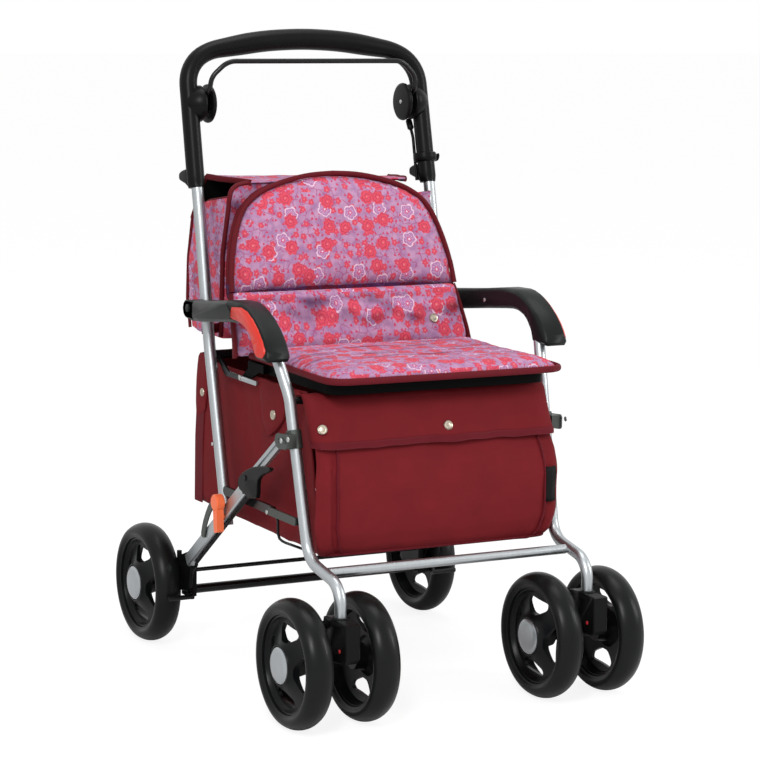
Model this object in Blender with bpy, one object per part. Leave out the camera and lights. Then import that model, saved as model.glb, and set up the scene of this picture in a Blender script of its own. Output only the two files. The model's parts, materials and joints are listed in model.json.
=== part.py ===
"""Shopping rollator: tubular frame with a telescopic handle, six wheels, a padded seat over a bag
and a pouch behind the backrest. Metres, +Z up, the front at -Y, the floor at z = 0.
Points called (y, z) lie in a side plane; left is x < 0, and every pair is built at x < 0 and mirrored."""
import math

import bmesh
import bpy
from mathutils import Matrix, Vector

# Wheels
WHEEL_R = 0.0825
TYRE_HALF = 0.0189
RIM_R = 0.0622
HUB_R = 0.0243
CAP_OUT = 0.0227
AXLE_R = 0.004
WINDOWS = 4
WINDOW_TURN = math.radians(85)
AXLE_FRONT_Y = -0.2403
AXLE_REAR_Y = 0.2403
CASTER_X = 0.1795
PAIR_HALF = 0.0464
REAR_WHEEL_X = 0.2170
RUN_GAP = 0.0003

# Rear uprights and the handle that slides on them
UPRIGHT_X = 0.1786
UPRIGHT_R = 0.0080
UPRIGHT_KINK = (0.1250, 0.4300)
UPRIGHT_FOOT_Z = 0.1860
UPRIGHT_BEND_Z = 0.5900
SLOPE_LOW = 0.2713
SLOPE_MID = 0.2045
SLOPE_UP = 0.2345
SLEEVE_R = 0.0121
SLEEVE_BACK = 0.0033
SLEEVE_END_Z = 0.6382
GRIP_R = 0.0146
HANDLE_TOP_Z = 0.8362
HANDLE_TRAVEL = (0.0, 0.060)
UPRIGHT_TOP_Z = HANDLE_TOP_Z - 0.1082

# Brake lever bar on the handle
BRAKE_PIVOT = (0.1993, HANDLE_TOP_Z - 0.0867)
BRAKE_DISC_R = 0.0262
BRAKE_DOME_R = 0.0240
BRAKE_DISC_X = (0.1472, 0.1533)
BRAKE_ARM_X = 0.1572
BRAKE_DOME_X = (0.1612, 0.1885)
BRAKE_BAR_R = 0.0034
CABLE_R = 0.0022

# Front legs and armrests
FOLD_PIVOT = (0.1365, 0.4800)
LEG_R = 0.0075
LEG_PATH = ((-0.1943, -0.1138, 0.4490), (-0.1864, -0.1368, 0.4000), (-0.1808, -0.1868, 0.1990),
            (-0.1797, -0.2734, 0.1830), (-0.1797, -0.2734, 0.1380))
LEG_BENDS = (0.090, 0.036, 0.031)
ARM_X = (0.1870, 0.2225)
ARM_BLOCK_X = (0.1872, 0.2050)
INSERT_DEPTH = 0.0060
CROSSBAR = (-0.2268, 0.1907)
CROSSBAR_R = 0.0062
UPPER_BAR = (-0.1384, 0.3950)
UPPER_BAR_R = 0.0050

# Fold linkage
FOOT_PIVOT = (0.0613, 0.1952)
LINK_PIVOT = (-0.1400, 0.3455)
KNEE = (-0.0510, 0.2815)
STAY_PIVOT = (-0.1550, 0.2430)
STAY_END = (-0.0830, 0.2425)
REAR_LEG_X = (0.1888, 0.2005)
REAR_LEG_HALF = 0.0087
REAR_LEG_DROP = 0.0016
REAR_LEG_FOOT = (0.1497, 0.1305)
KNEE_TUBE_GAP = 0.0270
LEVER_PIVOT = (0.0270, 0.2150)
HOOK_PIVOT = (0.0897, 0.1751)
LINK_X = (0.1951, 0.2005)
LINK_HALF = 0.0070
COLLAR_R = 0.0098
RAIL_X = (0.1800, 0.1842)
RAIL_HALF = 0.0060
RAIL_Z = 0.2427
STAY_X = (0.1753, 0.1783)

# Rear axle beam and brake
BEAM = (0.1800, 0.0810)
BEAM_R = 0.0064
BRAKE_ROD = (0.1800, 0.1080)
BRAKE_ROD_R = 0.0030
SHOE = (0.1505, 0.0778)
SHOE_BAR_R = 0.0034
BRACKET_X = (0.1745, 0.1870, 0.1910, 0.1955)

# Casters
FORK_HALF = 0.0105
FORK_TOP_Z = 0.1500
SOCKET_R = 0.0125

# Seat, backrest, pouch and bag
SEAT_HINGE = (0.0460, 0.3970)
SEAT_FRONT_Y = -0.2100
SEAT_BACK_Y = 0.0350
SEAT_HALF_W = 0.1650
BOARD_Z = (0.4085, 0.4219)
PAD_Z = 0.4222
PAD_EDGE = 0.0070
PAD_CROWN = 0.0130
PAD_SHIFT = 0.0080
BACK_Z = 0.5045
BACK_LOW_Z = 0.4215
BACK_LOW_THICK = 0.0130
BACK_LOW_HALF_W = 0.1810
BACK_TOP_Z = 0.6570
BACK_FRONT_Y = 0.0735
BACK_SLOPE = 0.2900
BACK_THICK = 0.0170
BACK_CROWN = 0.0060
POUCH_HALF_W = 0.1550
POUCH_SIDE_Z = 0.6300
POUCH_REAR_Z = 0.6530
BAG_HALF_W = 0.1590
BAG_BOTTOM_Z = 0.1970
BAG_TOP_Z = 0.4050
BAG_REAR_Y = 0.2080
CLOTH = 0.0030

COLORS = {
    "silver_tube": (0.62, 0.64, 0.65, 0.9, 0.35),
    "black_plastic": (0.020, 0.021, 0.021, 0.0, 0.45),
    "armrest_plastic": (0.028, 0.030, 0.029, 0.0, 0.55),
    "black_tube": (0.015, 0.015, 0.016, 0.0, 0.35),
    "grey_steel": (0.14, 0.15, 0.14, 0.8, 0.45),
    "orange_plastic": (1.00, 0.21, 0.07, 0.0, 0.45),
    "red_plastic": (0.70, 0.030, 0.014, 0.0, 0.35),
    "tyre_rubber": (0.026, 0.027, 0.026, 0.0, 0.60),
    "rim_plastic": (0.030, 0.032, 0.033, 0.0, 0.40),
    "maroon_cloth": (0.170, 0.018, 0.022, 0.0, 0.80),
    "floral_cloth": (0.480, 0.180, 0.300, 0.0, 0.85),
    "seat_board": (0.010, 0.010, 0.011, 0.0, 0.60),
}


def material(name):
    """The Principled material of that name, made once."""
    found = bpy.data.materials.get(name)
    if found:
        return found
    red, green, blue, metallic, roughness = COLORS[name]
    made = bpy.data.materials.new(name)
    made.use_nodes = True
    shader = made.node_tree.nodes["Principled BSDF"]
    shader.inputs["Base Color"].default_value = (red, green, blue, 1.0)
    shader.inputs["Metallic"].default_value = metallic
    shader.inputs["Roughness"].default_value = roughness
    made.diffuse_color = (red, green, blue, 1.0)
    return made


def new_object(name, verts, faces, look, round_angle=40.0):
    """An object from points and faces, with outward normals and shallow edges shaded smooth."""
    mesh = bpy.data.meshes.new(name)
    mesh.from_pydata([tuple(v) for v in verts], [], faces)
    work = bmesh.new()
    work.from_mesh(mesh)
    bmesh.ops.recalc_face_normals(work, faces=work.faces)
    for face in work.faces:
        face.smooth = True
    for edge in work.edges:
        edge.smooth = len(edge.link_faces) == 2 and edge.calc_face_angle(0.0) < math.radians(round_angle)
    work.to_mesh(mesh)
    work.free()
    made = bpy.data.objects.new(name, mesh)
    mesh.materials.append(material(look))
    bpy.context.scene.collection.objects.link(made)
    return made


def loft(rings, closed_ends=True):
    """Points and faces of a solid through rings of equal length."""
    count = len(rings[0])
    verts = [p for ring in rings for p in ring]
    faces = []
    for k in range(len(rings) - 1):
        for i in range(count):
            j = (i + 1) % count
            faces.append((k * count + i, k * count + j, (k + 1) * count + j, (k + 1) * count + i))
    if closed_ends:
        faces.append(tuple(range(count)))
        faces.append(tuple((len(rings) - 1) * count + i for i in range(count)))
    else:
        last = (len(rings) - 1) * count
        for i in range(count):
            j = (i + 1) % count
            faces.append((last + i, last + j, j, i))
    return verts, faces


def fillet(points, radii, steps=5):
    """The path through points with its inner corners rounded to radii."""
    points = [Vector(p) for p in points]
    path = [points[0]]
    for k in range(1, len(points) - 1):
        radius = radii[k - 1] if isinstance(radii, (list, tuple)) else radii
        before = (points[k - 1] - points[k]).normalized()
        after = (points[k + 1] - points[k]).normalized()
        half = before.angle(after) / 2
        if radius <= 0 or abs(half - math.pi / 2) < 0.01:
            path.append(points[k])
            continue
        reach = radius / math.tan(half)
        middle = points[k] + (before + after).normalized() * (radius / math.sin(half))
        start = points[k] + before * reach - middle
        turn = math.pi - 2 * half
        normal = start.cross(points[k] + after * reach - middle).normalized()
        for s in range(steps + 1):
            path.append(middle + Matrix.Rotation(turn * s / steps, 3, normal) @ start)
    path.append(points[-1])
    return path


def tube_mesh(path, radius, sides=12, start=Vector((1, 0, 0))):
    """A round bar along path; radius is one number or one for each point."""
    path = [Vector(p) for p in path]
    rings = []
    across = Vector(start)
    for k, point in enumerate(path):
        into = (point - path[k - 1]).normalized() if k else (path[1] - path[0]).normalized()
        out = (path[k + 1] - point).normalized() if k < len(path) - 1 else into
        along = (into + out).normalized()
        across = (across - along * across.dot(along)).normalized()
        other = along.cross(across)
        size = radius[k] if isinstance(radius, (list, tuple)) else radius
        stretch = 1.0 / max(0.5, along.dot(into))
        bend = (out - into)
        bend = bend.normalized() if bend.length > 1e-6 else None
        ring = []
        for i in range(sides):
            turn = 2 * math.pi * (i + 0.5) / sides
            offset = across * (math.cos(turn) * size) + other * (math.sin(turn) * size)
            if bend is not None:
                offset += bend * offset.dot(bend) * (stretch - 1.0)
            ring.append(point + offset)
        rings.append(ring)
    return loft(rings)


def round_outline(points, radius, steps=3):
    """A closed outline of (y, z) points with its corners rounded."""
    corners = [Vector((p[0], p[1], 0)) for p in points]
    count = len(corners)
    out = []
    for k in range(count):
        size = radius[k] if isinstance(radius, (list, tuple)) else radius
        before = corners[k - 1] - corners[k]
        after = corners[(k + 1) % count] - corners[k]
        half = before.angle(after) / 2
        if half > math.pi / 2 - 0.02 or size <= 0:
            out.append((corners[k].x, corners[k].y))
            continue
        reach = min(size / math.tan(half), before.length * 0.49, after.length * 0.49)
        size = reach * math.tan(half)
        before.normalize()
        after.normalize()
        middle = corners[k] + (before + after).normalized() * (size / math.sin(half))
        start = corners[k] + before * reach - middle
        end = corners[k] + after * reach - middle
        normal = start.cross(end).normalized()
        for s in range(steps + 1):
            p = middle + Matrix.Rotation((math.pi - 2 * half) * s / steps, 3, normal) @ start
            out.append((p.x, p.y))
    return out


def plate_mesh(outline, x0, x1, chamfer=0.0):
    """An outline of (y, z) points made into a plate from x0 to x1, its edges chamfered."""
    if chamfer <= 0:
        return loft([[(x0, y, z) for y, z in outline], [(x1, y, z) for y, z in outline]])
    inner = shrink(outline, chamfer)
    cut = chamfer if x1 > x0 else -chamfer
    return loft([[(x0, y, z) for y, z in inner], [(x0 + cut, y, z) for y, z in outline],
                 [(x1 - cut, y, z) for y, z in outline], [(x1, y, z) for y, z in inner]])


def shrink(outline, step):
    """The outline moved inwards by step."""
    area = sum(a[0] * b[1] - b[0] * a[1] for a, b in zip(outline, outline[1:] + outline[:1]))
    sign = 1 if area > 0 else -1
    out = []
    count = len(outline)
    for k in range(count):
        a, b, c = outline[k - 1], outline[k], outline[(k + 1) % count]
        d0 = Vector((b[0] - a[0], b[1] - a[1])).normalized()
        d1 = Vector((c[0] - b[0], c[1] - b[1])).normalized()
        n0 = Vector((-d0.y, d0.x)) * sign
        n1 = Vector((-d1.y, d1.x)) * sign
        n = n0 + n1
        n = n / max(0.5, n.dot(n) / 2)
        out.append((b[0] + n.x * step, b[1] + n.y * step))
    return out


def disc_outline(centre, radius, sides=16, start=0.0):
    """A round outline of (y, z) points."""
    return [(centre[0] + radius * math.cos(start + 2 * math.pi * i / sides),
             centre[1] + radius * math.sin(start + 2 * math.pi * i / sides)) for i in range(sides)]


def turned_mesh(profile, centre, sides):
    """A solid turned about the X line through centre; profile is closed, of (x, radius) points."""
    rings = []
    for i in range(sides):
        turn = 2 * math.pi * i / sides
        rings.append([(x, centre[0] + r * math.cos(turn), centre[1] + r * math.sin(turn)) for x, r in profile])
    return loft(rings, closed_ends=False)


def joined(*meshes):
    """Several solids as one list of points and faces."""
    verts, faces = [], []
    for part_verts, part_faces in meshes:
        base = len(verts)
        verts += list(part_verts)
        faces += [tuple(base + i for i in face) for face in part_faces]
    return verts, faces


def mirrored(mesh):
    """The same solid on the other side of x = 0."""
    return [(-v[0], v[1], v[2]) for v in mesh[0]], [tuple(reversed(face)) for face in mesh[1]]


def boolean(target, tools, operation="DIFFERENCE"):
    """Cuts or adds the solids in tools and keeps the result as the object's own mesh."""
    for number, mesh in enumerate(tools):
        tool = new_object(f"{target.name}_tool{number}", mesh[0], mesh[1], "black_plastic")
        change = target.modifiers.new("cut", "BOOLEAN")
        change.operation = operation
        change.solver = "EXACT"
        change.object = tool
        bpy.context.view_layer.update()
        graph = bpy.context.evaluated_depsgraph_get()
        result = bpy.data.meshes.new_from_object(target.evaluated_get(graph))
        target.modifiers.clear()
        old = target.data
        target.data = result
        bpy.data.meshes.remove(old)
        bpy.data.objects.remove(tool)
    return target


def pair(name, mesh, look, round_angle=40.0):
    """The left solid and its mirror image, as name_L and name_R."""
    left = new_object(name + "_L", mesh[0], mesh[1], look, round_angle)
    other = mirrored(mesh)
    right = new_object(name + "_R", other[0], other[1], look, round_angle)
    return left, right


def mirror_copy(left, name):
    """The mirror image of a finished left piece."""
    mesh = ([tuple(v.co) for v in left.data.vertices], [tuple(p.vertices) for p in left.data.polygons])
    other = mirrored(mesh)
    return new_object(name, other[0], other[1], left.data.materials[0].name)


def set_origin(made, point):
    """Moves the object's origin to point and leaves the solid where it is."""
    shift = Vector(point)
    made.data.transform(Matrix.Translation(-shift))
    made.location = shift
    return made


def upright_y(z):
    """The upright's centre line: y at height z."""
    y, kink = UPRIGHT_KINK
    if z < kink:
        return y + SLOPE_LOW * (z - kink)
    if z < UPRIGHT_BEND_Z:
        return y + SLOPE_MID * (z - kink)
    return y + SLOPE_MID * (UPRIGHT_BEND_Z - kink) + SLOPE_UP * (z - UPRIGHT_BEND_Z)


def along(a, b, distance):
    """The point at that distance from a towards b."""
    a, b = Vector(a), Vector(b)
    return tuple(a + (b - a).normalized() * distance)


def bar_outline(a, b, half, start=0.0, end=0.0):
    """A straight bar's outline between two (y, z) points, longer by start and end."""
    a, b = Vector(a), Vector(b)
    line = (b - a).normalized()
    side = Vector((-line.y, line.x)) * half
    a = a - line * start
    b = b + line * end
    return [tuple(a + side), tuple(b + side), tuple(b - side), tuple(a - side)]


# Wheels and casters

def tyre_profile(middle):
    """The tyre's section, closed, about its middle plane."""
    half = TYRE_HALF
    side = [(half * 0.68, RIM_R + RUN_GAP), (half, 0.0685), (half * 0.90, 0.0755), (half * 0.30, WHEEL_R)]
    points = [(-x, r) for x, r in side] + side[::-1]
    return [(middle + x, r) for x, r in points]


def rim_profile(middle, out):
    """Rim, dished spider, hub and cap as one section; out is +1 or -1, the side of the cap."""
    points = [(-0.0130, AXLE_R + 0.0004), (0.0170, AXLE_R + 0.0004), (0.0170, 0.0), (CAP_OUT, 0.0),
              (CAP_OUT, 0.0170), (0.0175, HUB_R), (0.0090, 0.0440), (0.0065, 0.0560), (0.0122, RIM_R),
              (-0.0122, RIM_R), (-0.0010, 0.0560), (-0.0130, 0.0180)]
    return [(middle + out * x, r) for x, r in points]


def rim_mesh(middle, centre, out, sides=24):
    """The rim turned from its section; the cap closes on the axis."""
    profile = rim_profile(middle, out)
    verts, faces, index = [], [], {}
    count = len(profile)
    for i in range(sides):
        turn = 2 * math.pi * i / sides
        for k, (x, r) in enumerate(profile):
            if r == 0.0 and i:
                index[i, k] = index[0, k]
                continue
            index[i, k] = len(verts)
            verts.append((x, centre[0] + r * math.cos(turn), centre[1] + r * math.sin(turn)))
    for i in range(sides):
        j = (i + 1) % sides
        for k in range(count):
            m = (k + 1) % count
            corners = []
            for key in ((i, k), (j, k), (j, m), (i, m)):
                if index[key] not in corners:
                    corners.append(index[key])
            if len(corners) > 2:
                faces.append(tuple(corners))
    return verts, faces


def window_outline(centre, angle):
    """One opening between two spokes: narrow at the hub, wide at the rim."""
    points = []
    for radius, spread in ((0.0313, 15), (0.0313, -15), (0.0470, -28.5), (0.0530, -22), (0.0530, 22),
                           (0.0470, 28.5)):
        turn = angle + math.radians(spread)
        points.append((centre[0] + radius * math.cos(turn), centre[1] + radius * math.sin(turn)))
    return points


def wheel(name, middle, centre, out):
    """A tyre and its rim with four windows, the origins on the axle."""
    verts, faces = turned_mesh(tyre_profile(middle), centre, 24)
    set_origin(new_object("tyre_" + name, verts, faces, "tyre_rubber"), (middle, *centre))
    verts, faces = rim_mesh(middle, centre, out)
    rim = new_object("rim_" + name, verts, faces, "rim_plastic", 30.0)
    tools = []
    for k in range(WINDOWS):
        angle = math.pi - WINDOW_TURN + 2 * math.pi * k / WINDOWS
        tools.append(plate_mesh(window_outline(centre, angle), middle - out * 0.012, middle + out * 0.024))
    boolean(rim, [joined(*tools)])
    set_origin(rim, (middle, *centre))


def wheels():
    front = (AXLE_FRONT_Y, WHEEL_R)
    rear = (AXLE_REAR_Y, WHEEL_R)
    wheel("front_L_outer", -CASTER_X - PAIR_HALF, front, -1)
    wheel("front_L_inner", -CASTER_X + PAIR_HALF, front, 1)
    wheel("front_R_inner", CASTER_X - PAIR_HALF, front, -1)
    wheel("front_R_outer", CASTER_X + PAIR_HALF, front, 1)
    wheel("rear_L", -REAR_WHEEL_X, rear, -1)
    wheel("rear_R", REAR_WHEEL_X, rear, 1)


def caster_forks():
    """Housing between the two wheels, with the socket for the leg and the axle for both wheels."""
    x0, x1 = -CASTER_X - FORK_HALF, -CASTER_X + FORK_HALF
    side = round_outline([(-0.3085, FORK_TOP_Z), (-0.3085, 0.0925), (-0.2620, 0.0880), (-0.2400, 0.0685),
                          (-0.2255, 0.0790), (-0.2260, 0.0960), (-0.2420, 0.1180), (-0.2480, FORK_TOP_Z)],
                         [0.004, 0.006, 0.010, 0.012, 0.010, 0.010, 0.010, 0.006], 1)
    body = plate_mesh(side, x0, x1, 0.0015)
    swivel_y = LEG_PATH[-1][1]
    cap = tube_mesh([(-CASTER_X, swivel_y, FORK_TOP_Z - 0.016), (-CASTER_X, swivel_y, FORK_TOP_Z + 0.003),
                     (-CASTER_X, swivel_y, FORK_TOP_Z + 0.007)], [SOCKET_R, SOCKET_R, SOCKET_R - 0.003], 12)
    half = PAIR_HALF + 0.0150
    axle = tube_mesh([(-CASTER_X - half, AXLE_FRONT_Y, WHEEL_R), (-CASTER_X + half, AXLE_FRONT_Y, WHEEL_R)],
                     AXLE_R, 10, Vector((0, 0, 1)))
    boss = tube_mesh([(-CASTER_X - 0.0270, AXLE_FRONT_Y, WHEEL_R), (-CASTER_X + 0.0270, AXLE_FRONT_Y, WHEEL_R)],
                     0.0090, 12, Vector((0, 0, 1)))
    knob = tube_mesh([(x0 - 0.0070, -0.2560, 0.1330), (x0 + 0.004, -0.2560, 0.1330)], 0.0050, 10,
                     Vector((0, 0, 1)))
    bore = tube_mesh([(-CASTER_X, swivel_y, LEG_PATH[-1][2] - 0.001), (-CASTER_X, swivel_y, 0.170)],
                     LEG_R + 0.0004, 12)
    left = new_object("caster_fork_L", body[0], body[1], "black_plastic")
    boolean(left, [cap, boss, axle, knob], "UNION")
    boolean(left, [bore])
    mesh = ([tuple(v.co) for v in left.data.vertices], [tuple(p.vertices) for p in left.data.polygons])
    other = mirrored(mesh)
    right = new_object("caster_fork_R", other[0], other[1], "black_plastic")
    set_origin(left, (-CASTER_X, swivel_y, FORK_TOP_Z))
    set_origin(right, (CASTER_X, swivel_y, FORK_TOP_Z))


# Frame

def uprights():
    """Rear uprights: one tube each with a slight bend where the slope changes."""
    ends = (UPRIGHT_FOOT_Z, UPRIGHT_KINK[1], UPRIGHT_BEND_Z, UPRIGHT_TOP_Z)
    path = fillet([(-UPRIGHT_X, upright_y(z), z) for z in ends], 0.30, 2)
    pair("upright", tube_mesh(path, UPRIGHT_R, 14), "silver_tube")


def front_legs():
    """Front legs: bent under the armrest and again above the caster."""
    path = leg_path()
    left, right = pair("front_leg", tube_mesh(path, LEG_R, 12), "silver_tube")
    lug = plate_mesh(bar_outline((STAY_PIVOT[0] - 0.020, STAY_PIVOT[1]), STAY_PIVOT, 0.005, 0, 0.004),
                     -RAIL_X[0] - 0.0032, -RAIL_X[0] + 0.0010)
    boolean(left, [lug], "UNION")
    boolean(right, [mirrored(lug)], "UNION")
    for made, sign in ((left, -1), (right, 1)):
        set_origin(made, (sign * UPRIGHT_X, *FOLD_PIVOT))


def leg_path():
    """The front leg's centre line with its bends."""
    return fillet(LEG_PATH, LEG_BENDS, 4)


def leg_centre(z):
    """The front leg's (x, y) on its straight run at height z."""
    top, foot = Vector(LEG_PATH[1]), Vector(LEG_PATH[2])
    t = (z - top.z) / (foot.z - top.z)
    point = top.lerp(foot, t)
    return point.x, point.y


def armrest_outline():
    """The armrest's side shape: straight from the pivot, then bent down to the leg's socket."""
    outer = [(0.1240, 0.4920), (0.0530, 0.4999), (-0.0190, 0.5097), (-0.0560, 0.5112), (-0.0780, 0.5058),
             (-0.0965, 0.4973), (-0.1146, 0.4851), (-0.1300, 0.4714), (-0.1383, 0.4588), (-0.1445, 0.4455)]
    inner = [(-0.1050, 0.4460), (-0.1030, 0.4560), (-0.0960, 0.4670), (-0.0850, 0.4760), (-0.0720, 0.4825),
             (-0.0540, 0.4850), (-0.0330, 0.4830), (0.0170, 0.4770), (0.0900, 0.4675), (0.1240, 0.4650)]
    bends = [0.004] + [0.04] * 8 + [0.003, 0.003] + [0.04] * 8 + [0.004]
    return round_outline(outer + inner, bends, 1)


def armrest_mesh(grow=0.0):
    """The armrest's solid, its outer side drawn in towards the pivot; grow moves that side outwards."""
    verts, faces = plate_mesh(armrest_outline(), -ARM_X[1] - grow, -ARM_X[0], 0.0045)
    front, rear = -0.0200, 0.1240
    shaped = []
    for x, y, z in verts:
        share = max(0.0, min(1.0, (y - front) / (rear - front)))
        across = (x + ARM_X[0]) / (ARM_X[1] - ARM_X[0])
        width = ARM_X[1] - ARM_X[0]
        shaped.append((-ARM_X[0] + across * (width - share * (ARM_X[1] - 0.2065)), y, z))
    return shaped, faces


def armrests():
    """Armrest shells over the upper leg, bent down at the front, with the pivot at the rear end."""
    body = armrest_mesh()
    left = new_object("armrest_L", body[0], body[1], "armrest_plastic", 50.0)
    block = [(0.1150, 0.4905), (0.1440, 0.4900), (0.1530, 0.4860), (0.1560, 0.4780), (0.1530, 0.4700),
             (0.1440, 0.4660), (0.1150, 0.4665)]
    screw = tube_mesh([(-ARM_BLOCK_X[1] - 0.0022, *FOLD_PIVOT), (-ARM_BLOCK_X[0] - 0.002, *FOLD_PIVOT)], 0.0055,
                      10, Vector((0, 0, 1)))
    boolean(left, [plate_mesh(block, -ARM_BLOCK_X[1], -ARM_BLOCK_X[0], 0.0010), screw], "UNION")
    relief = plate_mesh([(0.1040, 0.4550), (0.1040, 0.5050), (0.1700, 0.5050), (0.1700, 0.4550)], -ARM_BLOCK_X[0],
                        -0.1700)
    pocket = plate_mesh(insert_outline(0.0), -ARM_X[1] - 0.005, -ARM_X[1] + INSERT_DEPTH)
    path = leg_path()
    path[0] = path[0] + (path[0] - path[1]).normalized() * RUN_GAP
    entry = tube_mesh(path[:5], LEG_R + 0.0004, 12)
    boolean(left, [relief, pocket, entry])
    right = mirror_copy(left, "armrest_R")
    for made, sign in ((left, -1), (right, 1)):
        set_origin(made, (sign * ARM_X[0], *FOLD_PIVOT))


def insert_outline(step):
    """The red insert in the armrest's outer face, smaller than its pocket by step."""
    points = [(-0.0350, 0.5038), (-0.0640, 0.5065), (-0.0800, 0.5030), (-0.0970, 0.4950), (-0.1130, 0.4840),
              (-0.1265, 0.4715), (-0.1345, 0.4610), (-0.1365, 0.4540), (-0.1290, 0.4490), (-0.1150, 0.4490),
              (-0.1075, 0.4545), (-0.1030, 0.4640), (-0.0920, 0.4735), (-0.0760, 0.4820), (-0.0560, 0.4870),
              (-0.0320, 0.4895), (-0.0280, 0.4960)]
    bends = [0.004] + [0.0] * 6 + [0.003] * 3 + [0.0] * 6 + [0.004]
    rounded = round_outline(points, bends, 1)
    return shrink(rounded, step) if step else rounded


def armrest_inserts():
    """Red inserts that lie flush in the armrests' outer faces and over their front shoulders."""
    body = armrest_mesh(0.0005)
    left = new_object("armrest_insert_L", body[0], body[1], "red_plastic", 50.0)
    plate = plate_mesh(insert_outline(RUN_GAP), -ARM_X[1] - 0.005, -ARM_X[1] + INSERT_DEPTH - RUN_GAP)
    boolean(left, [plate], "INTERSECT")
    mirror_copy(left, "armrest_insert_R")


def front_bars():
    """The silver crossbar above the casters and the black bar that carries bag and seat."""
    reach = CASTER_X - LEG_R + 0.0015
    y, z = CROSSBAR
    lower = tube_mesh([(-reach, y, z), (reach, y, z)], CROSSBAR_R, 12, Vector((0, 0, 1)))
    made = new_object("front_crossbar", lower[0], lower[1], "silver_tube")
    seat = tube_mesh(leg_path(), LEG_R + RUN_GAP, 12)
    boolean(made, [seat, mirrored(seat)])
    x, leg_y = leg_centre(UPPER_BAR[1])
    y, z = UPPER_BAR
    upper = tube_mesh([(x, y, z), (-x, y, z)], UPPER_BAR_R, 10, Vector((0, 0, 1)))
    made = new_object("front_upper_bar", upper[0], upper[1], "black_tube")
    boolean(made, [seat, mirrored(seat)])


def leg_brackets():
    """A collar round each front leg with a cheek and a pin that hold the upper link."""
    low, high = 0.3360, 0.3590
    centre = lambda h: Vector((*leg_centre(h), h))
    collar = tube_mesh([centre(low), centre(high)], COLLAR_R, 12)
    bore = tube_mesh([centre(low - 0.01), centre(high + 0.01)], LEG_R + RUN_GAP, 12)
    cheek = round_outline([(-0.1640, 0.3570), (-0.1330, 0.3545), (-0.1290, 0.3470), (-0.1300, 0.3390),
                           (-0.1400, 0.3350), (-0.1640, 0.3375)], [0.003, 0.006, 0.006, 0.007, 0.007, 0.003], 1)
    x = LINK_X[1] + RUN_GAP
    outer = plate_mesh(cheek, -x - 0.0022, -x)
    web = plate_mesh([(-0.1620, 0.3560), (-0.1485, 0.3560), (-0.1485, 0.3390), (-0.1620, 0.3390)],
                     -x - 0.0010, -0.1880)
    pin = tube_mesh([(-x - 0.0034, *LINK_PIVOT), (-LINK_X[0] + 0.0006, *LINK_PIVOT)], 0.0025, 10,
                    Vector((0, 0, 1)))
    rivet = tube_mesh([(-x - 0.0032, -0.1580, 0.3465), (-x + 0.0010, -0.1580, 0.3465)], 0.0026, 10,
                      Vector((0, 0, 1)))
    left = new_object("leg_bracket_L", collar[0], collar[1], "grey_steel")
    boolean(left, [outer, web, pin, rivet], "UNION")
    boolean(left, [bore])
    mirror_copy(left, "leg_bracket_R")


def upper_links():
    """Grooved links from the leg brackets to the knees, each with an eye at its upper end."""
    bar = joined(plate_mesh(bar_outline(LINK_PIVOT, KNEE, LINK_HALF, 0, 0.0), -LINK_X[1], -LINK_X[0]))
    left = new_object("upper_link_L", bar[0], bar[1], "silver_tube")
    eye = plate_mesh(disc_outline(LINK_PIVOT, LINK_HALF, 12), -LINK_X[1], -LINK_X[0])
    toe = plate_mesh(disc_outline(KNEE, LINK_HALF - 0.0012, 14), -LINK_X[1], -LINK_X[0])
    hole = tube_mesh([(-0.21, *LINK_PIVOT), (-0.17, *LINK_PIVOT)], 0.0028, 12, Vector((0, 0, 1)))
    groove_line = (along(LINK_PIVOT, KNEE, 0.012), along(LINK_PIVOT, KNEE, 0.085))
    groove = plate_mesh(bar_outline(*groove_line, 0.0018), -LINK_X[1] - 0.002, -LINK_X[1] + 0.0020)
    boolean(left, [eye, toe], "UNION")
    boolean(left, [hole, groove])
    right = mirror_copy(left, "upper_link_R")
    set_origin(left, (-LINK_X[0], *LINK_PIVOT))
    set_origin(right, (LINK_X[0], *LINK_PIVOT))


def rear_leg_point(distance=None):
    """A point on the rear leg's centre line, measured from its knee end; the foot without a distance."""
    knee, foot = Vector(KNEE), Vector(REAR_LEG_FOOT)
    line = (foot - knee).normalized()
    drop = Vector((line.y, -line.x)) * REAR_LEG_DROP
    return tuple((foot if distance is None else knee + line * distance) + drop)


def rear_legs():
    """Rear legs of flat-sided tube from the wheel brackets past the uprights' feet to the knees."""
    top, foot = rear_leg_point(KNEE_TUBE_GAP), rear_leg_point()
    x0, x1 = -REAR_LEG_X[1], -REAR_LEG_X[0]
    outline = bar_outline(foot, top, REAR_LEG_HALF)
    mesh = plate_mesh(round_outline(outline, 0.001, 1), x0, x1, 0.0015)
    for made, sign in zip(pair("rear_leg", mesh, "silver_tube"), (-1, 1)):
        set_origin(made, (sign * UPRIGHT_X, *FOOT_PIVOT))


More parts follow.
